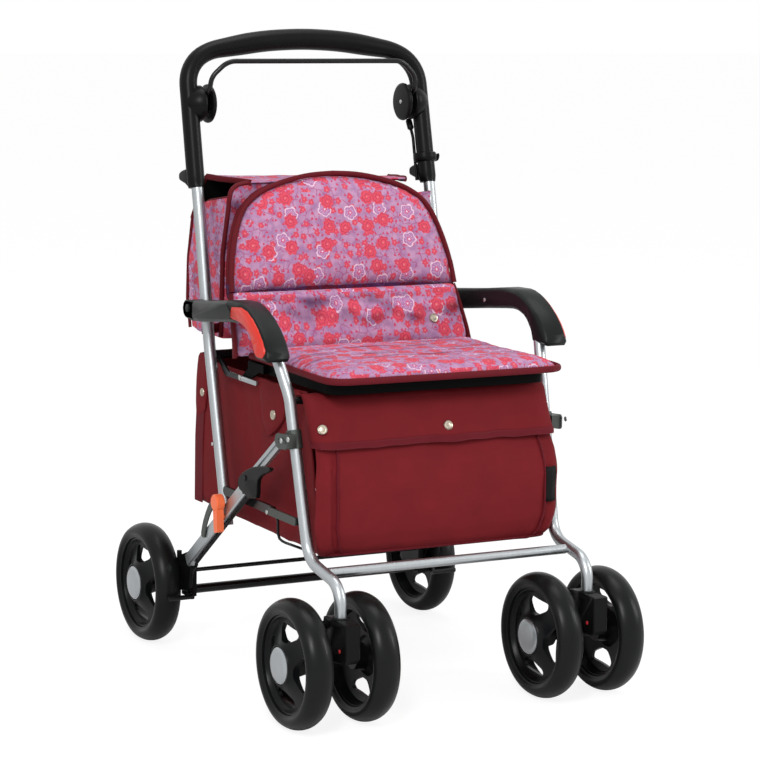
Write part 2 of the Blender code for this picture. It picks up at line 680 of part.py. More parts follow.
def knees():
    """Black knee housings: a hooked cheek over the link's end, with the pin, set in the rear leg."""
    cheek = [(-0.0284, 0.2715), (-0.0314, 0.2791), (-0.0409, 0.2863), (-0.0535, 0.2927), (-0.0692, 0.2988),
             (-0.0817, 0.3022), (-0.1065, 0.3062), (-0.1225, 0.3076), (-0.1240, 0.3045), (-0.1159, 0.3002),
             (-0.1037, 0.2960), (-0.0945, 0.2911), (-0.0884, 0.2853), (-0.0868, 0.2768), (-0.0870, 0.2686),
             (-0.0845, 0.2610), (-0.0608, 0.2567), (-0.0479, 0.2600), (-0.0331, 0.2635)]
    x = REAR_LEG_X[1] + RUN_GAP
    outer = plate_mesh(cheek, -x - 0.0060, -x, 0.0008)
    near, far = rear_leg_point(KNEE_TUBE_GAP - 0.0034), rear_leg_point(KNEE_TUBE_GAP - RUN_GAP)
    block = plate_mesh(bar_outline(near, far, REAR_LEG_HALF), -x - 0.0020, -REAR_LEG_X[0])
    pin = tube_mesh([(-x - 0.0072, *KNEE), (-x - 0.0010, *KNEE)], 0.0040, 10, Vector((0, 0, 1)))
    left = new_object("knee_L", outer[0], outer[1], "black_plastic")
    boolean(left, [block, pin], "UNION")
    mirror_copy(left, "knee_R")


def rear_axle():
    """The black beam between the rear legs and the brackets that carry the rear wheels."""
    y, z = BEAM
    lug_x, inner_x, outer_x, face_x = BRACKET_X
    reach = lug_x - RUN_GAP
    beam = tube_mesh([(-reach, y, z), (reach, y, z)], BEAM_R, 14, Vector((0, 0, 1)))
    new_object("rear_beam", beam[0], beam[1], "black_tube")
    outer = [(0.1565, 0.1400), (0.1750, 0.1330), (0.1930, 0.1240), (0.2150, 0.1050), (0.2500, 0.0960),
             (0.2555, 0.0800), (0.2400, 0.0680), (0.2200, 0.0700), (0.1950, 0.0800), (0.1700, 0.0830),
             (0.1530, 0.0860), (0.1470, 0.0930), (0.1440, 0.1080), (0.1429, 0.1212)]
    inner = [(0.1500, 0.1330), (0.1440, 0.1230), (0.1660, 0.1020), (0.1690, 0.0730), (0.1920, 0.0730),
             (0.1920, 0.1220), (0.1800, 0.1320)]
    lug = [(0.1690, 0.1150), (0.1910, 0.1150), (0.1910, 0.0730), (0.1690, 0.0730)]
    bridge = [(0.1429, 0.1212), (0.1565, 0.1400), (0.1900, 0.1260), (0.1860, 0.1190), (0.1560, 0.1190)]
    leg = bar_outline(rear_leg_point(), rear_leg_point(0.0800), REAR_LEG_HALF + RUN_GAP, RUN_GAP, 0)
    body = plate_mesh(outer, -face_x, -outer_x, 0.0008)
    left = new_object("wheel_bracket_L", body[0], body[1], "black_plastic")
    plates = [plate_mesh(bridge, -outer_x - 0.0005, -inner_x + 0.0005),
              plate_mesh(inner, -inner_x, -inner_x + 0.0035),
              plate_mesh(lug, -inner_x + 0.0010, -lug_x)]
    axle = tube_mesh([(-REAR_WHEEL_X - 0.0150, AXLE_REAR_Y, WHEEL_R), (-face_x + 0.002, AXLE_REAR_Y, WHEEL_R)],
                     AXLE_R, 10, Vector((0, 0, 1)))
    boss = tube_mesh([(-face_x - 0.0070, AXLE_REAR_Y, WHEEL_R), (-face_x + 0.002, AXLE_REAR_Y, WHEEL_R)],
                     0.0090, 10, Vector((0, 0, 1)))
    knob = tube_mesh([(-0.1935, 0.1860, 0.1210), (-0.1935, 0.1860, 0.1360)], 0.0035, 10)
    bore = tube_mesh([(-outer_x, *BRAKE_ROD), (-lug_x + 0.005, *BRAKE_ROD)], BRAKE_ROD_R + 0.0006, 12,
                     Vector((0, 0, 1)))
    boolean(left, plates + [axle, boss, knob], "UNION")
    boolean(left, [bore, plate_mesh(leg, -REAR_LEG_X[1] - RUN_GAP, -REAR_LEG_X[0] + RUN_GAP)])
    mirror_copy(left, "wheel_bracket_R")


def brake_shoes():
    """The cross rod with an arm and a shoe bar at each end; the bars press on the rear tyres."""
    inner = BRACKET_X[2] - 0.0005
    rod = tube_mesh([(-inner, *BRAKE_ROD), (inner, *BRAKE_ROD)], BRAKE_ROD_R, 8, Vector((0, 0, 1)))
    made = new_object("brake_rod", rod[0], rod[1], "black_tube")
    arm = plate_mesh(round_outline([(0.1860, 0.1120), (0.1860, 0.1040), (0.1560, 0.0740), (0.1480, 0.0740),
                                    (0.1465, 0.0800), (0.1740, 0.1130)], 0.003, 2),
                     -BRACKET_X[2] + 0.0004, -BRACKET_X[1] - 0.0004)
    y, z = SHOE
    bar = tube_mesh([(-BRACKET_X[1] - 0.0010, y, z), (-0.2340, y, z)], SHOE_BAR_R, 8, Vector((0, 0, 1)))
    boolean(made, [arm, bar, mirrored(arm), mirrored(bar)], "UNION")
    set_origin(made, (0, *BRAKE_ROD))


def fold_lock():
    """The orange lever and the hook plate on the left rear leg."""
    y, z = 0.0285, 0.2345
    head = disc_outline((y, z), 0.0112, 18, math.radians(-80))
    stem = [(0.0220, 0.2300), (0.0200, 0.1960), (0.0300, 0.1930), (0.0350, 0.2290)]
    lever = new_object("lock_lever", *plate_mesh(head, -0.2145, -0.2022, 0.0015), "orange_plastic")
    pin = tube_mesh([(-0.2040, *LEVER_PIVOT), (-REAR_LEG_X[1] - RUN_GAP, *LEVER_PIVOT)], 0.0040, 10, Vector((0, 0, 1)))
    boolean(lever, [plate_mesh(round_outline(stem, 0.0025, 2), -0.2130, -0.2030), pin], "UNION")
    set_origin(lever, (-0.2022, *LEVER_PIVOT))
    line = [HOOK_PIVOT, (0.0829, 0.1951), (0.0685, 0.2182), (0.0515, 0.2318)]
    curve = [(p.y, p.z) for p in fillet([(0, y, z) for y, z in line], 0.060, 2)]
    half, front, back = 0.0055, [], []
    for k, (y, z) in enumerate(curve):
        before, after = curve[max(0, k - 1)], curve[min(len(curve) - 1, k + 1)]
        side = Vector((before[1] - after[1], after[0] - before[0])).normalized() * half
        front.append((y + side.x, z + side.y))
        back.append((y - side.x, z - side.y))
    outline = round_outline(front + back[::-1], [0.004] + [0.0] * (len(front) - 2) + [0.004, 0.004]
                            + [0.0] * (len(front) - 2) + [0.004], 2)
    plate = plate_mesh(outline, -0.2030, -0.2010)
    hook = new_object("lock_hook", plate[0], plate[1], "grey_steel")
    set_origin(hook, (-0.2020, *HOOK_PIVOT))


def rail_pivot():
    """The hinge of the bag's side rails in front of the uprights."""
    lean = math.hypot(SLOPE_LOW, 1)
    return upright_y(RAIL_Z) - (UPRIGHT_R + RUN_GAP + RAIL_HALF + 0.0002) * lean, RAIL_Z


def bag_support():
    """Side rails hinged low on the uprights, joined by a wire that passes under the bag."""
    pivot = rail_pivot()
    rail = plate_mesh(bar_outline(pivot, STAY_END, RAIL_HALF, 0.0, 0.005), -RAIL_X[1], -RAIL_X[0])
    eye = plate_mesh(disc_outline(pivot, RAIL_HALF, 14), -RAIL_X[1], -RAIL_X[0])
    made = new_object("bag_support", rail[0], rail[1], "black_plastic")
    x = (RAIL_X[0] + RAIL_X[1]) / 2
    half = [(-x, STAY_END[0] - 0.0010, 0.2420), (-x, -0.0993, 0.2347), (-x, -0.1001, 0.2110),
            (-x, -0.1150, 0.2080), (-0.1640, -0.1260, 0.2010), (-0.1480, -0.1260, 0.1938)]
    line = half + [(-p[0], p[1], p[2]) for p in reversed(half)]
    bends = [0.006, 0.006, 0.006, 0.006, 0.010]
    wire = tube_mesh(fillet(line, bends + bends[::-1], 1), 0.0018, 8)
    boolean(made, [eye, mirrored(rail), mirrored(eye), wire], "UNION")
    set_origin(made, (0, *pivot))


def stays():
    """Grey stay plates hinged on the front legs, beside the rails' ends."""
    outline = round_outline(bar_outline(STAY_PIVOT, STAY_END, 0.0055, 0.005, 0.005), 0.004, 2)
    for made, sign in zip(pair("stay", plate_mesh(outline, -STAY_X[1], -STAY_X[0]), "grey_steel"), (-1, 1)):
        set_origin(made, (sign * STAY_X[1], *STAY_PIVOT))


def seat_hinge_bar():
    """The crossbar between the uprights with an ear on each side that carries the seat's rivet."""
    z = 0.4175
    y = upright_y(z)
    reach = UPRIGHT_X - UPRIGHT_R - RUN_GAP
    bar = tube_mesh([(-reach, y, z), (reach, y, z)], 0.0060, 12, Vector((0, 0, 1)))
    made = new_object("seat_hinge_bar", bar[0], bar[1], "silver_tube")
    ear = plate_mesh(round_outline([(y, z + 0.003), (y, z - 0.004), (0.0950, 0.3925), (-0.0020, 0.3925),
                                    (-0.0020, 0.3985), (0.0850, 0.3995)],
                                   [0.0, 0.0, 0.010, 0.002, 0.002, 0.010], 3), -0.1690, -0.1665)
    pin = tube_mesh([(-0.1705, *SEAT_HINGE), (-0.1648, *SEAT_HINGE)], 0.0022, 8, Vector((0, 0, 1)))
    boolean(made, [ear, mirrored(ear), pin, mirrored(pin)], "UNION")


# Handle and brakes

def sleeve_axis(z):
    """The sleeve's centre behind the upright: y at height z."""
    return upright_y(z) + SLEEVE_BACK


def handle_path():
    """The handle's centre line and its radius at each point: sleeves, bends and a thicker grip."""
    top = HANDLE_TOP_Z
    line = [(-UPRIGHT_X, SLEEVE_END_Z), (-UPRIGHT_X + 0.0014, top - 0.0322), (-0.1380, top - 0.0150),
            (-0.0600, top - 0.0027), (0.0, top)]
    line = line + [(-x, z) for x, z in reversed(line[:-1])]
    path = fillet([(x, sleeve_axis(z), z) for x, z in line], [0.048, 0.080, 0.50, 0.50, 0.50, 0.080, 0.048], 3)
    sizes = []
    for point in path:
        share = max(0.0, min(1.0, (0.150 - abs(point.x)) / 0.070))
        share = share * share * (3 - 2 * share)
        sizes.append(SLEEVE_R + (GRIP_R - SLEEVE_R) * share)
    return path, sizes


def cable_point(z):
    """A point on the cable beside the right sleeve at height z."""
    return Vector((UPRIGHT_X - 0.0134, sleeve_axis(z) + 0.0072, z))


def handle():
    """One black bent tube, bored from below for the uprights, with the cable clip on the right."""
    path, sizes = handle_path()
    verts, faces = tube_mesh(path, sizes, 14)
    made = new_object("handle", verts, faces, "black_plastic")
    up = Vector((0, SLOPE_UP, 1)).normalized()
    tools = []
    for x in (-UPRIGHT_X, UPRIGHT_X):
        foot = Vector((x, upright_y(SLEEVE_END_Z), SLEEVE_END_Z))
        end = foot + up * (UPRIGHT_TOP_Z - SLEEVE_END_Z - HANDLE_TRAVEL[0] + 0.004)
        tools.append(tube_mesh([foot - up * 0.02, end], UPRIGHT_R + RUN_GAP, 16))
    clip_z = SLEEVE_END_Z + 0.0278
    low = Vector((UPRIGHT_X - 0.0012, sleeve_axis(clip_z), clip_z))
    boolean(made, [tube_mesh([low, low + up * 0.0120], 0.0160, 12)], "UNION")
    hole = tube_mesh([cable_point(clip_z - 0.0060), cable_point(clip_z + 0.0190)], CABLE_R + 0.0003, 8)
    boolean(made, tools + [hole])


def lock_knobs():
    """Height lock levers behind the lower ends of the sleeves."""
    z = SLEEVE_END_Z + 0.0118
    y = sleeve_axis(z) + SLEEVE_R + RUN_GAP + 0.0004
    lean = SLOPE_UP * 0.0125
    outline = round_outline([(y + lean, z + 0.0125), (y + 0.0200, z + 0.0085), (y + 0.0280, z + 0.0050),
                             (y + 0.0280, z - 0.0050), (y + 0.0080, z - 0.0085), (y - lean, z - 0.0125)],
                            [0.0, 0.006, 0.003, 0.003, 0.004, 0.0], 1)
    pair("lock_knob", plate_mesh(outline, -UPRIGHT_X - 0.0075, -UPRIGHT_X + 0.0075, 0.0020), "black_plastic")


def closed_turn(profile, centre, sides):
    """A solid turned about the X line through centre from a profile whose ends lie on that line."""
    verts, faces, index = [], [], {}
    for i in range(sides):
        turn = 2 * math.pi * i / sides
        for k, (x, r) in enumerate(profile):
            if r == 0.0 and i:
                index[i, k] = index[0, k]
                continue
            index[i, k] = len(verts)
            verts.append((x, centre[0] + r * math.cos(turn), centre[1] + r * math.sin(turn)))
    for i in range(sides):
        j = (i + 1) % sides
        for k in range(len(profile) - 1):
            corners = []
            for key in ((i, k), (j, k), (j, k + 1), (i, k + 1)):
                if index[key] not in corners:
                    corners.append(index[key])
            faces.append(tuple(corners))
    return verts, faces


def brake_housings():
    """Brake housings inside the handle: a disc, a neck for the lever bar and a dome round the tube."""
    x0, x1 = BRAKE_DISC_X
    d0, d1 = BRAKE_DOME_X
    disc, dome = BRAKE_DISC_R, BRAKE_DOME_R
    profile = [(x0, 0.0), (x0, disc * 0.88), (x0 + 0.0035, disc), (x1, disc * 0.98), (x1, 0.0055),
               (d0, 0.0055), (d0, dome), (d0 + 0.0060, dome * 0.95), (d0 + 0.0130, dome * 0.78),
               (d0 + 0.0210, dome * 0.48), (d1, 0.0)]
    mesh = closed_turn([(-x, r) for x, r in profile], BRAKE_PIVOT, 14)
    left = new_object("brake_housing_L", mesh[0], mesh[1], "black_plastic")
    path, sizes = handle_path()
    boolean(left, [tube_mesh(path[:6], [r + RUN_GAP for r in sizes[:6]], 14)])
    mirror_copy(left, "brake_housing_R")


def brake_bar():
    """The brake lever bar: straight under the grip, curved down at each end to an eye on the neck."""
    y, z = BRAKE_PIVOT
    x = BRAKE_ARM_X
    half = [(-x, y - 0.0080, z + 0.0055), (-x - 0.0008, y - 0.0218, z + 0.0195), (-x + 0.0015, y - 0.0238, z + 0.0375),
            (-0.1340, y - 0.0275, HANDLE_TOP_Z - 0.0284)]
    line = half + [(-p[0], p[1], p[2]) for p in reversed(half)]
    path = fillet(line, [0.020, 0.024, 0.030, 0.030, 0.024, 0.020], 2)
    verts, faces = tube_mesh(path, BRAKE_BAR_R, 8)
    made = new_object("brake_bar", verts, faces, "black_tube")
    eye = plate_mesh(disc_outline(BRAKE_PIVOT, 0.0105, 14), -x - 0.0031, -x + 0.0031)
    hole = tube_mesh([(-x - 0.02, y, z), (-x + 0.02, y, z)], 0.0058, 12, Vector((0, 0, 1)))
    boolean(made, [eye, mirrored(eye)], "UNION")
    boolean(made, [hole, mirrored(hole)])
    set_origin(made, (0, y, z))


def cables():
    """Brake cables: down the right sleeve, down the right upright and along the left rear leg."""
    top, mid = Vector((0.1655, 0.2090, 0.7235)), cable_point(0.7000)
    end = top.lerp(mid, 0.5)
    path = [top, end, top.lerp(mid, 0.56)] + fillet([end, mid, cable_point(0.6400)], 0.03, 2)[1:]
    verts, faces = tube_mesh(path, [0.0040, 0.0040] + [CABLE_R] * (len(path) - 2), 8)
    new_object("brake_cable_handle", verts, faces, "black_plastic")
    near = Vector((-UPRIGHT_R - CABLE_R - 0.0005, 0.0005, 0))
    line = [Vector((UPRIGHT_X, upright_y(z), z)) + near for z in (0.5940, UPRIGHT_BEND_Z, 0.4640)]
    new_object("brake_cable_upright", *tube_mesh(line, CABLE_R, 8), "black_plastic")
    foot, top = Vector(rear_leg_point()), Vector(rear_leg_point(0.0300))
    line = (top - foot).normalized()
    drop = Vector((line.y, -line.x)) * (REAR_LEG_HALF + CABLE_R + 0.0004)
    if drop.y > 0:
        drop = -drop
    a, b = foot + drop + line * 0.0140, top + drop
    x = -0.1930
    path = [(x, a.x, a.y), (x, b.x, b.y)]
    new_object("brake_cable_leg", *tube_mesh(path, CABLE_R, 8), "black_plastic")


# Soft pieces

def cushion_mesh(outline, place, thick, crown, steps, power=3):
    """A closed cushion: outline points (u, v), place(u, v, h) gives the point at height h above the back."""
    cu = sum(p[0] for p in outline) / len(outline)
    cv = sum(p[1] for p in outline) / len(outline)
    loops = [(0.93, 0.0), (0.985, 0.04), (1.0, 0.30), (1.0, 0.70), (0.985, 0.96)]
    loops = [(s, h * thick) for s, h in loops]
    for s in steps:
        rise = 1.0 - (s / 0.985) ** power
        loops.append((s, thick * 0.96 + crown * rise))
    rings = []
    for scale, height in loops:
        rings.append([place(cu + (u - cu) * scale, cv + (v - cv) * scale, height) for u, v in outline])
    verts, faces = loft(rings)
    return verts, faces


def back_place(u, v, h):
    """A point on the upper backrest: u across, v up, h towards the front."""
    lean = Vector((0, BACK_SLOPE, 1)).normalized()
    out = Vector((0, -lean.z, lean.y))
    base = Vector((0, BACK_FRONT_Y + BACK_THICK + (v - BACK_Z) * BACK_SLOPE, v))
    return tuple(base + Vector((u, 0, 0)) + out * h)


def backrest():
    """Upper backrest with a round top and a lower pad that leads to the seat."""
    seam = BACK_Z - 0.0021
    right = [(0.1715, seam), (0.1690, 0.5300), (0.1640, 0.5560), (0.1550, 0.5850), (0.1440, 0.6080),
             (0.1290, 0.6240), (0.1050, 0.6375), (0.0710, 0.6480), (0.0350, 0.6545)]
    outline = right + [(0.0, BACK_TOP_Z)] + [(-u, v) for u, v in reversed(right)]
    base = [(x, seam) for x in (-0.1150, -0.0550, 0.0, 0.0550, 0.1150)]
    outline = outline + base
    mesh = cushion_mesh(outline, back_place, BACK_THICK, BACK_CROWN, (0.93, 0.82, 0.62, 0.35))
    new_object("backrest_upper", mesh[0], mesh[1], "floral_cloth", 60.0)
    low, high = BACK_LOW_Z, BACK_Z - 0.0004
    profile = [(0.0, 0.0730), (0.35, 0.0580), (0.7, 0.0440), (1.0, 0.0365)]

    def front_y(v):
        t = (high - v) / (high - low)
        for (t0, y0), (t1, y1) in zip(profile, profile[1:]):
            if t <= t1 + 1e-9:
                return y0 + (y1 - y0) * (t - t0) / (t1 - t0)
        return profile[-1][1]

    def place(u, v, h):
        y = front_y(v)
        return (u, y + BACK_LOW_THICK - h, v)

    rows = 5
    wide = BACK_LOW_HALF_W
    edge = [(0.1715 + (wide - 0.1715) * (1 - k / rows) ** 0.8, low + (high - low) * k / rows)
            for k in range(rows + 1)]
    top = [(0.1715 - 0.343 * k / 6, high) for k in range(1, 6)]
    left = [(-u, v) for u, v in reversed(edge)]
    bottom = [(-wide + 2 * wide * k / 6, low) for k in range(1, 6)]
    mesh = cushion_mesh(edge + top + left + bottom, place, BACK_LOW_THICK - 0.0010, 0.0030, (0.93, 0.8, 0.55))
    new_object("backrest_lower", mesh[0], mesh[1], "floral_cloth", 60.0)


def seat():
    """The black seat board with its hinge lugs, and the cushion on it."""
    half, y0, y1 = SEAT_HALF_W - 0.008, SEAT_FRONT_Y + 0.012, SEAT_BACK_Y
    z0, z1 = BOARD_Z
    outline = round_outline([(-half, y0), (half, y0), (half, y1), (-half, y1)], [0.020, 0.020, 0.004, 0.004], 3)
    board = loft([[(x, y, z0) for x, y in outline], [(x, y, z1) for x, y in outline]])
    made = new_object("seat_board", board[0], board[1], "seat_board")
    y, z = SEAT_HINGE
    lug = plate_mesh(round_outline([(y + 0.006, z + 0.001), (y + 0.002, z - 0.0055), (y - 0.004, z - 0.0055),
                                    (y - 0.050, BOARD_Z[0] + 0.002), (y - 0.012, BOARD_Z[0] + 0.002)],
                                   [0.005, 0.004, 0.004, 0.0, 0.0], 2), -0.1645, -0.1612)
    grip = plate_mesh([(y - 0.060, z0 + 0.001), (y - 0.012, z0 + 0.001), (y - 0.012, z1 - 0.001),
                       (y - 0.060, z1 - 0.001)], -0.1645, -0.1560)
    boolean(made, [lug, mirrored(lug), grip, mirrored(grip)], "UNION")
    set_origin(made, (0, y, z))
    right = [(0.1380, SEAT_FRONT_Y), (0.1540, SEAT_FRONT_Y + 0.0020), (0.1650, SEAT_FRONT_Y + 0.0090),
             (0.1710, SEAT_FRONT_Y + 0.0220), (0.1725, -0.1600), (0.1710, -0.1100), (0.1695, -0.0550),
             (0.1690, 0.0), (0.1690, SEAT_BACK_Y)]
    back = [(0.1100, SEAT_BACK_Y), (0.0500, SEAT_BACK_Y)]
    front = [(-0.1000, SEAT_FRONT_Y - 0.0010), (-0.0400, SEAT_FRONT_Y - 0.0015)]
    outline = right + back + [(-u, v) for u, v in reversed(back)] + [(-u, v) for u, v in reversed(right)]
    outline = outline + front + [(-u, v) for u, v in reversed(front)]
    mesh = cushion_mesh(outline, lambda u, v, h: (u + PAD_SHIFT, v, PAD_Z + h), PAD_EDGE, PAD_CROWN,
                        (0.955, 0.90, 0.80, 0.55), 7)
    made = new_object("seat_pad", mesh[0], mesh[1], "floral_cloth", 60.0)
    set_origin(made, (0, y, z))


def pouch():
    """The pouch between the uprights, open at the top, its rear wall higher than its sides."""
    half = POUCH_HALF_W
    front = [(0.1160, 0.6300), (0.1275, 0.5850), (0.1365, 0.5530), (0.1380, 0.5000), (0.1400, 0.4350)]
    rear = [(0.2440, 0.4400), (0.2540, 0.4780), (0.2520, 0.5340), (0.2370, 0.6000), (0.2200, POUCH_REAR_Z)]

    def line_y(points, z):
        points = sorted(points, key=lambda p: p[1])
        for (y0, z0), (y1, z1) in zip(points, points[1:]):
            if z <= z1 + 1e-9:
                return y0 + (y1 - y0) * max(0.0, z - z0) / (z1 - z0)
        return points[-1][0]

    def ring(z, step):
        """One level of the pouch's outline, drawn in by step; the middle stays behind the backrest."""
        behind = BACK_FRONT_Y + (z - BACK_Z) * BACK_SLOPE + BACK_THICK + 0.0005
        y_side = line_y(front, z) + step
        y_mid = max(y_side, behind + step)
        y_rear = line_y(rear, z) - step
        w = half - step
        side = [(w, y_rear - 0.0060), (w - 0.0060, y_rear)]
        loop = [(-0.1300, y_mid), (0.0, y_mid), (0.1300, y_mid), (w - 0.0070, y_side), (w, y_side + 0.0060)]
        loop = loop + side + [(0.0, y_rear), (-w + 0.0060, y_rear), (-w, y_rear - 0.0060)]
        return [(x, v, z) for x, v in loop + [(-w, y_side + 0.0060), (-w + 0.0070, y_side)]]

    levels = (0.4330, 0.4400, 0.4780, 0.5340, 0.5530, 0.5850, POUCH_SIDE_Z, POUCH_REAR_Z)
    made = new_object("pouch", *loft([ring(z, 0.0) for z in levels]), "maroon_cloth", 50.0)
    inner = loft([ring(z, CLOTH) for z in (0.4365,) + levels[1:-1] + (0.6600,)])
    mouth = line_y(rear, POUCH_SIDE_Z) - CLOTH
    notch = plate_mesh([(0.0900, POUCH_SIDE_Z), (mouth, POUCH_SIDE_Z), (mouth - 0.0060, 0.7000), (0.0900, 0.7000)],
                       -half - 0.01, half + 0.01)
    boolean(made, [inner, notch])
    straps = []
    for z, reach in ((0.4500, 0.0260), (0.6180, 0.0070)):
        y = upright_y(z)
        strap = plate_mesh([(y - 0.0060, z - 0.0060), (y + reach, z - 0.0060), (y + reach, z + 0.0060),
                            (y - 0.0060, z + 0.0060)], UPRIGHT_R - UPRIGHT_X + RUN_GAP, 0.0010 - half)
        straps += [strap, mirrored(strap)]
    boolean(made, straps, "UNION")


def bag_front_y(z):
    """The front panel's outer face: it bulges forward below the flap."""
    points = [(0.2035, -0.1945), (0.2120, -0.2010), (0.2300, -0.2055), (0.2550, -0.2075), (0.2900, -0.2070),
              (0.3200, -0.2010), (0.3500, -0.1870), (0.3850, -0.1710)]
    for (z0, y0), (z1, y1) in zip(points, points[1:]):
        if z <= z1 + 1e-9:
            return y0 + (y1 - y0) * (z - z0) / (z1 - z0)
    return points[-1][1]


def bag_half_width(z):
    """Half the front panel's width at height z."""
    points = [(0.2035, 0.1640), (0.2150, 0.1720), (0.2400, 0.1775), (0.3000, 0.1775), (0.3400, 0.1720),
              (0.3850, 0.1680)]
    for (z0, w0), (z1, w1) in zip(points, points[1:]):
        if z <= z1 + 1e-9:
            return w0 + (w1 - w0) * (z - z0) / (z1 - z0)
    return points[-1][1]


def bag_front():
    """The bag's front panel, wrapped round its corners to the gussets."""
    rings = []
    for z in (0.2035, 0.2120, 0.2300, 0.2550, 0.2900, 0.3200, 0.3500, 0.3850):
        y, w = bag_front_y(z), bag_half_width(z)
        right = [(0.0600, y - 0.0010), (0.1200, y - 0.0003), (w - 0.0160, y + 0.0015), (w - 0.0050, y + 0.0050),
                 (w, y + 0.0115), (max(w - 0.0040, 0.1630), y + 0.0175)]
        tail = (0.1625, max(y + 0.0300, -0.1790))
        inner = [(BAG_HALF_W + RUN_GAP, tail[1]), (max(w - 0.0075, BAG_HALF_W + RUN_GAP), y + 0.0165), (w - 0.0040, y + 0.0115), (w - 0.0075, y + 0.0078),
                 (w - 0.0170, y + 0.0047), (0.1200, y + 0.0028), (0.0600, y + 0.0021)]
        loop = [(-x, v) for x, v in reversed(right)] + right + [tail] + inner
        loop = loop + [(-x, v) for x, v in reversed(inner)] + [(-tail[0], tail[1])]
        rings.append([(x, v, z) for x, v in loop])
    verts, faces = loft(rings)
    new_object("bag_front", verts, faces, "maroon_cloth", 50.0)


def bag_flap():
    """The flap over the upper front bar, hanging in front of the bag's mouth."""
    outer = [(-0.1340, 0.4035), (-0.1450, 0.4052), (-0.1610, 0.4062), (-0.1700, 0.4030), (-0.1770, 0.3920), (-0.1880, 0.3690),
             (-0.1995, 0.3440), (-0.2005, 0.3400)]
    inner = [(-0.1975, 0.3395), (-0.1962, 0.3440), (-0.1850, 0.3680), (-0.1742, 0.3905), (-0.1685, 0.3990),
             (-0.1600, 0.4032), (-0.1450, 0.4022), (-0.1384, 0.4004), (-0.1340, 0.4004)]
    outline = outer + inner
    rings = []
    widths = [(-0.1745, 0.0200), (-0.1730, 0.0130), (-0.1680, 0.0055), (-0.1550, 0.0), (-0.08, 0.0), (0.0, 0.0)]
    widths = widths + [(-x, s) for x, s in reversed(widths[:-1])]
    for x, set_back in widths:
        rings.append([(x, y + set_back * (0.4 + 0.6 * min(1.0, (0.4062 - z) / 0.05)), z) for y, z in outline])
    verts, faces = loft(rings)
    new_object("bag_flap", verts, faces, "maroon_cloth", 50.0)


def bag_rear_and_gusset():
    """The bag's rear panel with its flap, and the side and floor gusset as one bent sheet."""
    y, top = BAG_REAR_Y, 0.4085
    rear = [(y, 0.2010), (y + 0.0060, 0.2080), (y + 0.0085, 0.2600), (y + 0.0085, 0.3300), (y + 0.0125, 0.3320),
            (y + 0.0150, 0.3600), (y + 0.0120, top), (y + 0.0015, top), (y + 0.0040, 0.3600), (y + 0.0040, 0.2600),
            (y + 0.0020, 0.2110), (y - 0.0020, 0.2035)]
    mesh = plate_mesh(rear, -BAG_HALF_W + 0.001, BAG_HALF_W - 0.001)
    new_object("bag_rear", mesh[0], mesh[1], "maroon_cloth", 50.0)
    w, t = BAG_HALF_W, CLOTH
    z0, z1 = BAG_BOTTOM_Z, BAG_TOP_Z - 0.002
    loop = [(-w, z1), (-w, z0 + 0.012), (-w + 0.0035, z0 + 0.0035), (-w + 0.012, z0), (w - 0.012, z0),
            (w - 0.0035, z0 + 0.0035), (w, z0 + 0.012), (w, z1), (w - t, z1), (w - t, z0 + 0.013),
            (w - 0.0057, z0 + 0.0057), (w - 0.013, z0 + t), (-w + 0.013, z0 + t), (-w + 0.0057, z0 + 0.0057),
            (-w + t, z0 + 0.013), (-w + t, z1)]
    mouth = [(x, -0.1775 + 0.0480 * (z - z0) / (z1 - z0), z) for x, z in loop]
    rings = [mouth] + [[(x, v, z) for x, z in loop] for v in (-0.1150, -0.0500, 0.0300, 0.1200, y - 0.0025)]
    verts, faces = loft(rings)
    made = new_object("bag_gusset", verts, faces, "maroon_cloth", 50.0)
    y, z = upright_y(0.3880), 0.3880
    loop = plate_mesh([(y - 0.0080, z - 0.0080), (y + 0.0080, z - 0.0080), (y + 0.0080, z + 0.0080),
                       (y - 0.0080, z + 0.0080)], UPRIGHT_R - UPRIGHT_X + RUN_GAP, 0.0005 - w)
    boolean(made, [loop, mirrored(loop)], "UNION")


def clear_scene():
    for made in list(bpy.data.objects):
        bpy.data.objects.remove(made, do_unlink=True)


def build():
    clear_scene()
    wheels()
    caster_forks()
    uprights()
    front_legs()
    armrests()
    armrest_inserts()
    front_bars()
    leg_brackets()
    upper_links()
    rear_legs()
    knees()
    rear_axle()
    brake_shoes()
    fold_lock()
    bag_support()
    stays()
    seat_hinge_bar()
    handle()
    lock_knobs()
    brake_housings()
    brake_bar()
    cables()
    backrest()
    seat()
    pouch()
    bag_front()
    bag_flap()
    bag_rear_and_gusset()


build()
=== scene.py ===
import json
import math

import bmesh
import bpy
import numpy as np
from mathutils import Matrix, Vector, noise

